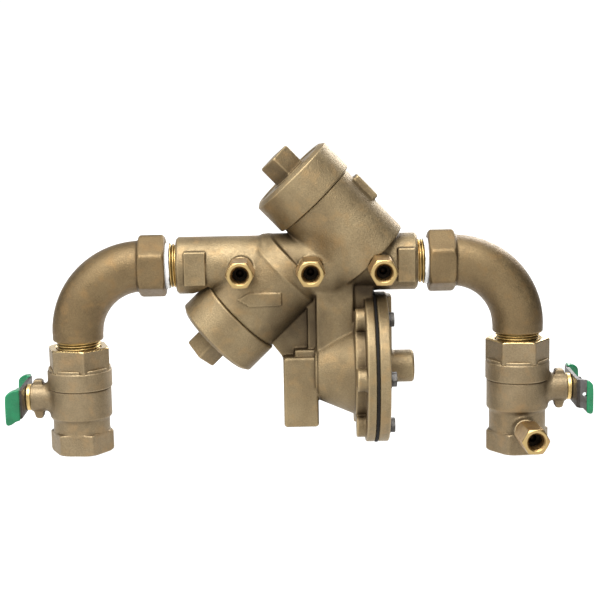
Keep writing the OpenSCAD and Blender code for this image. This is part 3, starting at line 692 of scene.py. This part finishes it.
def valve_face(look):
    """The valve's flat top, which is bright."""
    return look.past(2, valve_top - 0.9)


BRONZE = ((0.276, 0.209, 0.114), (0.200, 0.146, 0.076))
FORGED = ((0.278, 0.212, 0.124), (0.214, 0.160, 0.090))
# Painted shadows under the run, on top of the flange, on the web, on the neck and under the outlet barrel
painted_shadow_places = [(49, -14, -15, 15, 0.85), (58, -6, -24, 14, 0.75), (4, -10, -50, 26, 0.5),
        (32, -18, -13, 18, 0.35), (-8, -26, -38, 32, 0.35)]
looks = {
    "bronze_casting": casting_look("bronze_casting", *BRONZE, bare=run_shoulders, painted_shadow_patches=painted_shadow_places),
    "elbow_casting": casting_look("elbow_casting", (0.205, 0.144, 0.070), (0.150, 0.102, 0.048)),
    "valve_forging": casting_look("valve_forging", *FORGED),
    "machined_brass": machined_look("machined_brass", (0.52, 0.375, 0.155), (0.38, 0.265, 0.10), dull=0.3),
    "stainless_steel": machined_look("stainless_steel", (0.55, 0.54, 0.52), (0.42, 0.41, 0.40), (1, 30, 30)),
    "zinc_plated_steel": machined_look("zinc_plated_steel", (0.135, 0.130, 0.125), (0.075, 0.068, 0.060),
                                       worn=False, dull=0.42),
    "black_rubber": rubber_look("black_rubber"),
    "white_ptfe": plastic_look("white_ptfe", (0.86, 0.86, 0.85), (0.76, 0.76, 0.74), 0.5, 1.2, 0.05),
    "green_vinyl": vinyl_look("green_vinyl"),
    "acetal_plastic": plastic_look("acetal_plastic", (0.80, 0.78, 0.71), (0.72, 0.70, 0.62), 0.4, 2.5, 0.02),
}
cock_metals = {number: cock_look(number) for number in (1, 2, 3, 4)}
adapter_look = casting_look("adapter_forging", *FORGED, bare=valve_face)
# Inside the test cocks the balls and seats are nearly black: painted shade in the holes
shade_black_steel = machined_look("shade_black_steel", (0.014, 0.010, 0.007), (0.006, 0.004, 0.003), worn=False, dull=0.3)
shade_black_ptfe = plastic_look("shade_black_ptfe", (0.024, 0.018, 0.012), (0.012, 0.009, 0.006), 0.7, 1.2, 0.05,
                         shine=0.05)
shaded_inside = {f"test_cock_{number}_ball": shade_black_steel for number in cock_metals}
shaded_inside["test_cock_seats"] = shade_black_ptfe
slot_of = {part["node"]: part["material_slot"] for part in frame["record"]["subparts"]}
small_metals = ("machined_brass", "zinc_plated_steel", "stainless_steel")
for node, cad in frame["nodes"].items():
    for material_slot in cad.material_slots:
        material_slot.material = shaded_inside.get(node, looks[slot_of[node]])
    # The sharp edges of the small metal parts are broken a little
    if slot_of[node] in small_metals and not node.endswith("ball"):
        bevel = cad.modifiers.new("broken_edges", "BEVEL")
        bevel.width = 0.25 * MM
        bevel.segments = 2
        bevel.limit_method = "ANGLE"
        bevel.angle_limit = math.radians(35)


def pipe_thread(name, place, bore_r, length):
    """A one-inch male thread along z."""
    thread = male_thread(thread_core_r, thread_crest_r, bore_r, length, thread_pitch)
    new_piece(name, new_mesh(name, *thread, place), "machined_brass")


def run_end(way, x):
    """A place on the run's axis whose z points out of that end, away from the middle."""
    return Place((way * x, 0, 0), (0, 0, way), (way, 0, 0)).within(RUN)


# ---- body casting ----

# Along the barrels, from where their axes meet the run's
inlet_seam = 65.5
outlet_seam = 54.5
barrels = (("inlet", INLET_BARREL, inlet_seam), ("outlet", OUTLET_BARREL, outlet_seam))
barrel_r = 31.5
cap_r = 34.3
cap_height = 27
# Along the relief valve's axis, from the run's middle
neck_x0, neck_x1 = 13.5, 41.4
flange_r = 56.4
flange_face = 56
bolt_circle_r = 46
bolt_angles = [30 + 60 * i for i in range(6)]
bolt_boss_r = 8.6
# Along the run, from its middle
cock_x = [61.5, 9.5, -41]
run_bore_r = 12.7
run_thread_length = 20


def fronting(x):
    """z towards the front at a place along the run, y up."""
    return Place((x, 0, 0), (1, 0, 0), (0, -1, 0))


def bolt_boss(x0, x1, edge=0.0):
    """A boss round a cover bolt, between two places along the relief valve's axis."""
    def distance(x, y, z):
        side = np.hypot(x - bolt_circle_r, y) - bolt_boss_r
        return rounded(side, np.maximum(x0 - z, z - x1), edge)

    return (37, -9, x0), (55, 9, x1), distance


def flow_arrow(x0, x1, z, half, point=9):
    """A raised bar with a pointed left end, on the front of the outlet barrel."""
    outline = [(x0, z), (x0 + point, z + half), (x1, z + half), (x1, z - half), (x0 + point, z - half)]
    across, _, along = OUTLET_BARREL.axes
    outline = [np.array((x, 0, z)) - OUTLET_BARREL.origin for x, z in outline]
    raised = plate([(across @ corner, along @ corner) for corner in outline], -40, -10)
    return both(cylinder(barrel_r + 0.9, 4, outlet_seam - 2), raised)


def grow_body(s):
    """The body casting, in the run's frame."""
    s.add(ALONG_X, cylinder(21.2, -run_ends, run_ends, 1.8, join=chamfered))
    s.add(ALONG_X, cylinder(22.5, -27, 42, 3), 2)
    # The barrels, from their seats out
    s.add(INLET_BARREL, cylinder(15, -14, 6, 0, 26), 2)
    s.add(INLET_BARREL, cylinder(barrel_r, 5.5, inlet_seam, 1.4), 1.6)
    s.add(ALONG_X, cylinder(24.5, 4, 32, 7), 11)
    s.add(OUTLET_BARREL, cylinder(28, -4, 9, 1.2, barrel_r), 1.4)
    s.add(OUTLET_BARREL, cylinder(barrel_r, 8, outlet_seam, 0.9), 2)
    s.add(INLET_BARREL, block((25, -7.5, 35), (35.5, 7.5, 57), 1.6), 2)
    # The relief valve's neck, housing, flange and bolt bosses
    s.add(HERE, block((neck_x0, -17.5, -relief_drop), (neck_x1, 17.5, 0), 1.6), 2.5)
    s.add(RELIEF, cylinder(22, 12, 16, 1.0), 1)
    s.add(RELIEF, cylinder(24, 14, neck_x1, 1, 35.6), 1.2)
    s.add(RELIEF, cylinder(40, neck_x1, 50, 1.2), 1.5)
    s.add(RELIEF, cylinder(flange_r, 49.4, flange_face, 1.0), 1.2)
    for angle in bolt_angles:
        s.add(moved(RELIEF, turn=angle), bolt_boss(42, 51, 0.8), 1.8)
    s.add(HERE, block((40, -14, -36), (56, 14, -16), 2), 2.5)
    # The discharge spout and the web that ties it to the outlet barrel
    s.add(HERE, block((-11.6, -17, -122), (14.4, 17, -68.5), 2.4), 1.2)
    s.add(HERE, block((-3, -14, -76), (13, 14, -63.5), 1.5), 0.8)
    s.add(HERE, prism([(-21, -58), (-12, -30), (-6, -8), (16, -8), (16, -75), (-8, -75)], -6, 6), 2)
    s.add(HERE, prism([(7, -72), (7, -20), (16, -20), (16, -72)], -11, 11, 1), 1.5)
    # Wrench pads, test cock bosses and the flow arrow
    for x0, x1 in ((-83, -67), (74, 87)):
        s.add(HERE, block((x0, -22.3, -12.5), (x1, 0, 12.5), 0.8), 0.6)
    for x in cock_x:
        s.add(fronting(x), cylinder(9, 0, boss_reach, 0.7), 2)
    s.add(OUTLET_BARREL, flow_arrow(-44, -12, -22, 5), 0.2)
    # Inside the barrels, the cocks' bosses, the spout, the relief housing and the run's ends
    for _, barrel, seam in barrels:
        s.cut(barrel, cylinder(cap_r + 2, seam, seam + 45))
        s.cut(barrel, cylinder(24.5, 8, seam))
        s.cut(barrel, cylinder(27, seam - 17.5, seam + 1))
    for x in cock_x:
        s.cut(moved(fronting(x), z=boss_reach), cylinder(9.6, 0, 8))
        s.cut(fronting(x), cylinder(6.9, boss_reach - 8, boss_reach + 2))
    s.cut(HERE, block((-7, -13, -126), (7.5, 13, -70.5), 2))
    s.cut(RELIEF, cylinder(13, 6, 15))
    s.cut(RELIEF, cylinder(18.5, 14, 44, 0, 30))
    s.cut(RELIEF, cylinder(34, 43.9, flange_face + 1))
    s.cut(ALONG_X, cylinder(run_bore_r, -run_ends - 2, -80))
    s.cut(ALONG_X, cylinder(run_bore_r, 84, run_ends + 2))


grown("cast_body", RUN, (-92, -58, -138), (92, 58, 72), 0.75, grow_body, "bronze_casting", ["body"], soft=0.3)
for side, way in (("outlet", -1), ("inlet", 1)):
    pipe_thread(f"{side}_run_thread", run_end(way, run_ends), run_bore_r, run_thread_length)


# ---- caps ----

def grow_cap(s):
    """A check valve's cap along its barrel, from its seam at z = 0."""
    head_top = cap_height + 16.5
    guide_top = 18.5
    s.add(HERE, cylinder(27, -16.5, 3))
    s.add(HERE, turned([(0, 0), (cap_r - 0.6, 0), (cap_r, 0.8), (cap_r, cap_height - 2.5),
                        (cap_r - 3.5, cap_height), (0, cap_height)]))
    s.cut(HERE, ring(15, 27.5, cap_height - 0.9, cap_height + 2), 0.8)
    head = both(block((-9.5, -9.5, cap_height - 3), (9.5, 9.5, head_top), 0.9),
                cylinder(12.9, cap_height - 3, head_top, 1.5))
    s.add(moved(HERE, turn=45), head, 1.2)
    s.cut(HERE, turned([(9, -18), (23, -18), (23, guide_top), (9, guide_top)]))
    s.cut(HERE, cylinder(10, -18, -10))
    s.cut(HERE, cylinder(5.05, -18, guide_top))
    s.cut(HERE, ring(24.3, 28, -3.3, -0.5))


for side, barrel, seam in barrels:
    grown(f"{side}_cap", moved(barrel, z=seam).within(RUN), (-36, -36, -18), (36, 36, 46), 0.6, grow_cap,
          "bronze_casting", [f"check_cap_{side}"], soft=0.25)


# ---- relief valve cover and diaphragm ----

cover_x = 58
cover_face = 66.3


def grow_cover(s):
    """The relief valve's cover along its axis, with a nose for the stem and a rib on top."""
    s.add(HERE, cylinder(flange_r, cover_x, cover_face, 1.2))
    s.cut(HERE, ring(18, flange_r - 2.2, cover_face - 0.8, cover_face + 1), 0.8)
    s.add(HERE, cylinder(12.2, cover_x + 4, 86.7, 2.4), 3)
    rib = both(block((-flange_r, -8.5, cover_x), (0, 8.5, 70), 1.5), cylinder(flange_r - 1.5, 50, 72, 1.5))
    s.add(HERE, rib, 2)
    for angle in bolt_angles:
        spoke = moved(HERE, turn=angle)
        s.add(spoke, bolt_boss(cover_x, cover_face), 0.8)
        s.cut(moved(spoke, x=bolt_circle_r), cylinder(3.4, 50, 80))
    s.cut(HERE, turned([(0, cover_x - 1), (34, cover_x - 1), (34, 62), (30, 64.1), (0, 64.1)]))
    s.cut(HERE, cylinder(4.05, 50, 82))


grown("cover_casting", RELIEF.within(RUN), (-58, -58, 57), (58, 58, 88), 0.7, grow_cover,
      "bronze_casting", ["relief_cover"], soft=0.25)


def diaphragm(name, outline, body):
    """A part of the diaphragm, turned about the relief valve's axis."""
    mesh = new_mesh(name, *spun(outline, 160), RELIEF.within(RUN))
    new_piece(name, mesh, "black_rubber", body, ["relief_diaphragm"])


clamped = [(33.8, 56.1), (flange_r + 0.3, 56.05), (flange_r + 0.5, 56.4), (flange_r + 0.5, 57.6),
           (flange_r + 0.3, 57.95), (33.8, 57.9)]
# From the plates out over the fold to the rim, and back
folded = [(4.1, 56.2), (24.2, 56.2), (26, 55.4), (28.6, 54.2), (31.2, 55.2), (33.2, 56.5),
          (33.2, 57.4), (31, 56.6), (28.7, 55.6), (26.4, 56.6), (24.6, 57.8), (4.1, 57.8)]
diaphragm("diaphragm_rim", clamped, "casting")
diaphragm("diaphragm_middle", folded, "relief_shuttle")


# ---- elbows ----

socket_x = 97.5     # from the run's middle out to the mouth of an elbow's socket
# From where the axes of an elbow's two ends meet
elbow_reach = leg_spacing / 2 - socket_x
cast_end = 54.8
bend_r = 49.5
elbow_bore_r = 13
elbow_thread_length = 16


def elbow_grower(hex_turn):
    """A street elbow: its socket opens towards -x, and its male end points down."""
    turn = math.radians(hex_turn)
    socket = Place((-elbow_reach, 0, 0), (0, math.sin(turn), -math.cos(turn)), (1, 0, 0))
    bend = Place((-bend_r, 0, -bend_r), (1, 0, 0), UP)
    male_end = moved(HERE, z=-cast_end)

    def grow(s):
        s.add(bend, bent_tube(bend_r, 19))
        s.add(male_end, cylinder(18.9, 0, cast_end - bend_r + 0.5, 0.8))
        s.add(socket, cylinder(19, 16, elbow_reach - bend_r + 0.5))
        s.add(socket, hexagon(42, 0, 20, 23.9, 2.2, 2.2, 1.2), 1.5)
        s.add(bend, both(bent_tube(bend_r, 19.25), block((-2, -0.6, -2), (80, 0.6, 80))), 0.6)
        s.cut(bend, bent_tube(bend_r, elbow_bore_r))
        s.cut(male_end, cylinder(elbow_bore_r, -1, cast_end - bend_r + 1))
        s.cut(socket, cylinder(elbow_bore_r, 10, elbow_reach - bend_r + 1))
        s.cut(socket, cylinder(thread_crest_r + 0.05, -1, 12.5))
        s.cut(socket, cylinder(thread_crest_r + 2, -1.5, 0.8, 0, thread_crest_r))
    return grow


for side, leg, hex_turn in (("inlet", INLET_LEG, 5), ("outlet", OUTLET_LEG, -5)):
    top = moved(leg, z=run_height)
    grown(f"{side}_street_elbow", top, (-70, -26, -57), (21, 26, 26), 0.65, elbow_grower(hex_turn),
          "elbow_casting", [f"{side}_elbow"], soft=0.35)
    down = moved(leg, z=run_height - cast_end)
    down = Place(down.origin, down.axes[0], (0, 0, -1))
    pipe_thread(f"{side}_elbow_thread", down, elbow_bore_r, elbow_thread_length)


def tape_edge(radius, z, ragged, phase):
    """A row for spun that wanders along z, as torn tape does."""
    def at(a):
        wave = sum(np.sin(a * n + phase * n * n) / n ** 0.5 for n in (2, 5, 9, 17, 23))
        return radius + 0.06 * np.sin(7 * a + phase), z + ragged * wave
    return at


tape_x = 94
points, faces = np.empty((0, 3)), np.empty((0, 4), int)
for way in (-1, 1):
    rows = [tape_edge(16.6, 0.4, 0.25, 1.1 * way), tape_edge(17.1, 0.5, 0.25, 1.1 * way),
            tape_edge(17.25, 1.8, 0.2, 2.3), tape_edge(17.2, 3.45, 0.03, 0.4), (16.6, 3.5)]
    end_points, end_faces = spun(rows, 160)
    faces = np.concatenate([faces, end_faces + len(points)])
    points = np.concatenate([points, run_end(way, tape_x).out(end_points)])
new_piece("wrapped_tape", new_mesh("wrapped_tape", points, faces), "white_ptfe", replaces=["thread_tape"])


# ---- shutoff valves, from the stem's axis ----

gland_x = 37
valve_flats = 42.2
valve_corner_r = 24.2
valve_bore_r = 12.5


def valve_grower(height, foot_turn, hex_turn, cock):
    """A ball valve's casing round the adapter that is screwed into its top."""
    bottom = valve_rise - height
    stem = ALONG_X

    def grow(s):
        s.add(HERE, cylinder(23.3, valve_rise - 20, valve_rise - 15, 0.5))
        s.add(HERE, cylinder(24.1, valve_rise - 31, valve_rise - 17.4, 0.7))
        s.add(HERE, turned([(0, -16.5), (21.2, -16.5), (23.2, -14), (23.2, 8), (0, 8)]), 0.8)
        s.cut(HERE, ring(22.7, 26, valve_rise - 31.6, valve_rise - 30.8))
        s.add(HERE, cylinder(21.2, bottom + 14, -14), 0.8)
        foot = hexagon(valve_flats, bottom, bottom + 16, valve_corner_r, 2.0, 0.9, 0.8)
        s.add(moved(HERE, turn=foot_turn), foot, 1.0)
        s.add(stem, cylinder(10.5, 10, gland_x, 0.7), 4)
        s.add(HERE, prism([(27, -9), (28, 13), (29.4, 13.8), (33.6, 13.8), (35, 13), (35.8, -9), (34, -15.3),
                           (32.5, -16), (30, -16), (28.6, -15.3)], -4, 4, 0.8), 1.5)
        if cock:
            s.add(cock, cylinder(8.4, -11.8, 0, 0.7), 3)
            s.cut(cock, cylinder(9.5, 0, 8))
            s.cut(cock, cylinder(6.9, -8, 1))
        s.cut(HERE, cylinder(20.6, valve_rise - 26.5, valve_rise - 17))
        adapter = hexagon(valve_flats, valve_rise - 17.5, valve_rise, valve_corner_r, 0, 0)
        s.cut(moved(HERE, turn=hex_turn), adapter)
        s.cut(HERE, cylinder(18.9, valve_rise - 50, valve_rise))
        s.cut(HERE, cylinder(17.7, valve_rise - 55.5, 0))
        s.cut(HERE, cylinder(valve_bore_r, bottom + 16, 0))
        s.cut(HERE, threaded_hole(14.9, bottom - 1, bottom + 17, thread_pitch, 1.3))
        s.cut(HERE, cylinder(17.8, bottom - 0.1, bottom + 1.8, 0, 15.4))
        s.cut(stem, cylinder(5.05, 5, gland_x + 1))
        s.cut(stem, cylinder(8.05, 28, gland_x + 1))
    return grow


def adapter_grower(hex_turn):
    """The adapter that the elbow's thread goes into, from its top face."""
    def grow(s):
        s.add(moved(HERE, turn=hex_turn), hexagon(valve_flats, -17.5, 0, valve_corner_r, 0.3, 1.3, 0.6))
        s.add(HERE, cylinder(20.5, -21.5, -14))
        s.cut(HERE, cylinder(valve_bore_r, -23, 1))
        s.cut(HERE, cylinder(thread_crest_r + 0.05, -12, 1))
        s.cut(HERE, cylinder(thread_crest_r, -1.2, 0.1, 0, thread_crest_r + 1.4))
    return grow


wing_tip_x = 50.8
vinyl = 1.1


def wing_outline(extra):
    """Seen along the valve: x out along the stem, then y."""
    tip = wing_tip_x + extra
    return [(40.5 - extra, 20), (40.5 - extra, 24.5), (42.5 - extra, 27.5 + extra), (tip, 30 + extra),
            (tip, 27.5 - extra), (44.4, 24 - extra), (43 + extra, 22.6 - extra), (43 + extra, 20)]


def wing_front(extra):
    """Seen from the front: a tongue that droops towards its rounded tip."""
    tip = wing_tip_x + extra
    corners = [(39.5, -10.5 - extra), (44.5, -10.5 - extra), (47.5, -13.2 - extra), (tip, -13.8 - extra),
               (tip, -7), (tip, 5), (50 + extra, 9), (45.5, 11 + extra), (39.5, 10.8 + extra)]
    # Corners are cut three times over, which makes a smooth curve
    for _ in range(3):
        ends = list(zip(corners, corners[1:] + corners[:1]))
        corners = [tuple(np.array(a) * (1 - t) + np.array(b) * t) for a, b in ends for t in (0.25, 0.75)]
    return corners


def grip_grower(starts):
    """Vinyl over both wing tips, which were dipped as far in as x = starts."""
    def grow(s):
        for way, start in zip((-1, 1), starts):
            outline = [(x, way * y) for x, y in wing_outline(vinyl)]

            # The outline lies in x and y, and the front in x and z
            def distance(x, y, z, outline=outline, start=start):
                seen_along = outline_distance(outline, x, y)
                seen_front = outline_distance(wing_front(vinyl), x, z)
                return np.maximum(np.maximum(seen_along, seen_front), start - x)

            low_y, high_y = sorted((way * 18, way * 32))
            s.add(HERE, ((start, low_y, -16), (52.5, high_y, 13), distance))
    return grow


# Each with its test cock, the turns of its foot and its adapter in degrees, and where its grips start
valves = [("inlet", INLET_LEG, 1, 6.5, -5.5, (47, 41.5)),
          ("outlet", OUTLET_LEG, None, -4.5, -14.5, (41.5, 41.5))]
for side, leg, cock, foot_turn, hex_turn, grip_starts in valves:
    stem = moved(leg, z=stem_height)
    height = valve_top - mounts[f"{side}_port"]["pos_m"][2] / MM
    at_cock = None
    if cock:
        outer = cock_place(cock)
        at_cock = Place(outer.origin - stem.origin, outer.axes[0], outer.axes[2])
    low, high = (-25.5, -30, valve_rise - height), (38, 26, valve_rise - 14.8)
    grown(f"{side}_shutoff_casing", stem, low, high, 0.55, valve_grower(height, foot_turn, hex_turn, at_cock),
          "valve_forging", [f"{side}_valve_body"], soft=0.25)
    grown(f"{side}_shutoff_end", moved(leg, z=valve_top), (-26, -26, -22), (26, 26, 0.1), 0.5,
          adapter_grower(hex_turn), "valve_forging", [f"{side}_valve_adapter"], soft=0.2,
          material=adapter_look)
    grown(f"{side}_wing_grips", stem, (40, -33, -17), (54, 33, 14), 0.4, grip_grower(grip_starts),
          "green_vinyl", [f"{side}_handle_grips"], f"{side}_shutoff", soft=0.6)


# ---- test cocks ----

cock_stem_z = 15.2
cock_corner_r = 10.5
cock_thread_pitch = 1.41


def grow_cock(s):
    """A test cock's casing, with a slotted stem's hole in its underside."""
    stem = Place((0, 0, cock_stem_z), (1, 0, 0), (0, -1, 0))
    s.add(HERE, cylinder(6.85, -7.5, 1))
    s.add(HERE, cylinder(7.6, 0, 8, 0.4), 0.3)
    s.add(HERE, hexagon(18.5, 7, cock_length, cock_corner_r, 0.9, 1.8, 0.3), 0.5)
    s.cut(HERE, cylinder(2.6, -9, 25))
    s.cut(HERE, cylinder(5.5, 8.7, 22))
    s.cut(HERE, threaded_hole(5.2, 21.8, cock_length + 1, cock_thread_pitch, 0.7))
    s.cut(HERE, cylinder(4.9, 30.6, cock_length + 0.1, 0, 7.1))
    s.cut(stem, cylinder(2.65, 0, 12))
    s.cut(stem, cylinder(4.2, 8, 12, 0, 4.8))


low = (-cock_corner_r, -cock_corner_r, -8.5)
high = (cock_corner_r, cock_corner_r, cock_length + 0.2)
for number, metal in cock_metals.items():
    grown(f"test_cock_{number}_casing", cock_place(number), low, high, 0.4, grow_cock,
          "machined_brass", [f"test_cock_{number}_body"], soft=0.15, material=metal)


# ---- springs ----


def spring(name, place, size, node, anchor_z):
    """A coil spring in the place of the CAD node that it replaces."""
    place = place.within(RUN)
    piece = new_piece(name, new_mesh(name, *coil(*size), place), "stainless_steel", replaces=[node])
    tuple(place.out((0, 0, anchor_z)) * MM)
    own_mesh(piece)


for side, barrel, seam in barrels:
    low, high = 16.05, seam + 18.45
    spring(f"{side}_coil", barrel, (14, 1, low, high, 7), f"check_spring_{side}", high)
low, high = 14.05, 52.95
spring("relief_coil", RELIEF, (16.2, 0.9, low, high, 6), "relief_spring", low)


# ---- camera, light and floor ----

def look_from(target, azimuth, elevation, roll, distance):
    """Camera matrix that looks at target, from azimuth to the left of -Y, rolled clockwise."""
    a, e, r = (math.radians(v) for v in (azimuth, elevation, roll))
    forward = Vector((math.sin(a) * math.cos(e), math.cos(a) * math.cos(e), -math.sin(e)))
    right = Vector((math.cos(a), -math.sin(a), 0))
    up = right.cross(forward)
    x = right * math.cos(r) - up * math.sin(r)
    y = right * math.sin(r) + up * math.cos(r)
    matrix = Matrix((x, y, -forward)).transposed().to_4x4()
    matrix.translation = Vector(target) - forward * distance
    return matrix


# Sizes and places are in metres here, and the lights' power is in watts
LIGHTS = (("key", (-0.3, -0.85, 1.7), 1.7, 76),
          ("side", (-1.5, -0.5, 0.7), 0.7, 12),
          ("back", (0.6, 1.5, 1.0), 0.9, 22))
FLOOR_RINGS = ((0.01, 0), (1, 0), (4, 0), (5, 0.1), (6, 0.4), (7, 1.0), (8, 2.2), (9, 4.0))
flag_away = 0.48
flag_low, flag_high = 0.03, 0.4
flag_half = 0.35


def set_the_stage():
    """The camera, the lights, the floor and the flags, none of which belong to the part."""
    scene = bpy.context.scene
    scene.view_settings.view_transform = "Standard"
    camera = new_object("camera", bpy.data.cameras.new("camera"))
    camera.data.lens = 88.1
    camera.data.sensor_width = 36
    camera.data.clip_end = 50
    camera.matrix_world = look_from(target=(-0.1633, 0, 0.118), azimuth=0.38, elevation=9.7, roll=1.09,
                                    distance=1.1)
    scene.camera = camera

    world = bpy.data.worlds.new("studio")
    world.use_nodes = True
    sky = world.node_tree.nodes["Background"]
    sky.inputs["Color"].default_value = (1, 1, 1, 1)
    sky.inputs["Strength"].default_value = 0.38
    scene.world = world
    middle = Vector((-leg_spacing / 2, 0, run_height * 0.7)) * MM
    for name, where, size, power in LIGHTS:
        light = new_object(name, bpy.data.lights.new(name, "AREA"))
        light.data.size = size
        light.data.energy = power
        light.location = Vector(where)
        light.rotation_euler = (middle - light.location).to_track_quat("-Z", "Y").to_euler()

    # The floor touches both ports, which end at different heights, and sweeps up far away
    slope = outlet_rise / leg_spacing
    sides = 64
    a = np.arange(sides) * 2 * math.pi / sides
    rings = [np.stack([r * np.cos(a), r * np.sin(a), z - r * np.cos(a) * slope], 1) for r, z in FLOOR_RINGS]
    points, faces = swept(np.array(rings), False)
    lid = sides // 2 - 1
    floor = new_object("floor", new_mesh("floor", points / MM, faces[:-lid]))
    paper = Look("paper", 0.0, (0.2, 0.2, 0.2), 0.9)
    paper.feed("Base Color", paper.mix(paper.noise(300, 2), (0.19, 0.19, 0.19), (0.21, 0.21, 0.21)))
    paper.set("Emission Color", (1, 1, 1, 1))
    paper.set("Emission Strength", 0.93)
    floor.data.materials.append(paper.material)

    # Black flags at both sides of the table, as in a product studio, keep the castings' edges dark
    black = Look("black_cloth", 0.0, (0.01, 0.01, 0.01), 0.9)
    black.feed("Base Color", black.mix(black.noise(4, 2), (0.008, 0.008, 0.008), (0.014, 0.014, 0.014)))
    for way in (-1, 1):
        x = way * flag_away - leg_spacing / 2 * MM
        corners = [(x, -flag_half, flag_low), (x, flag_half, flag_low), (x, flag_half, flag_high),
                   (x, -flag_half, flag_high)]
        flag = new_object("flag", new_mesh("flag", np.array(corners) / MM, [(0, 1, 2, 3)]))
        flag.data.materials.append(black.material)
        flag.visible_camera = False
        flag.visible_shadow = False


set_the_stage()
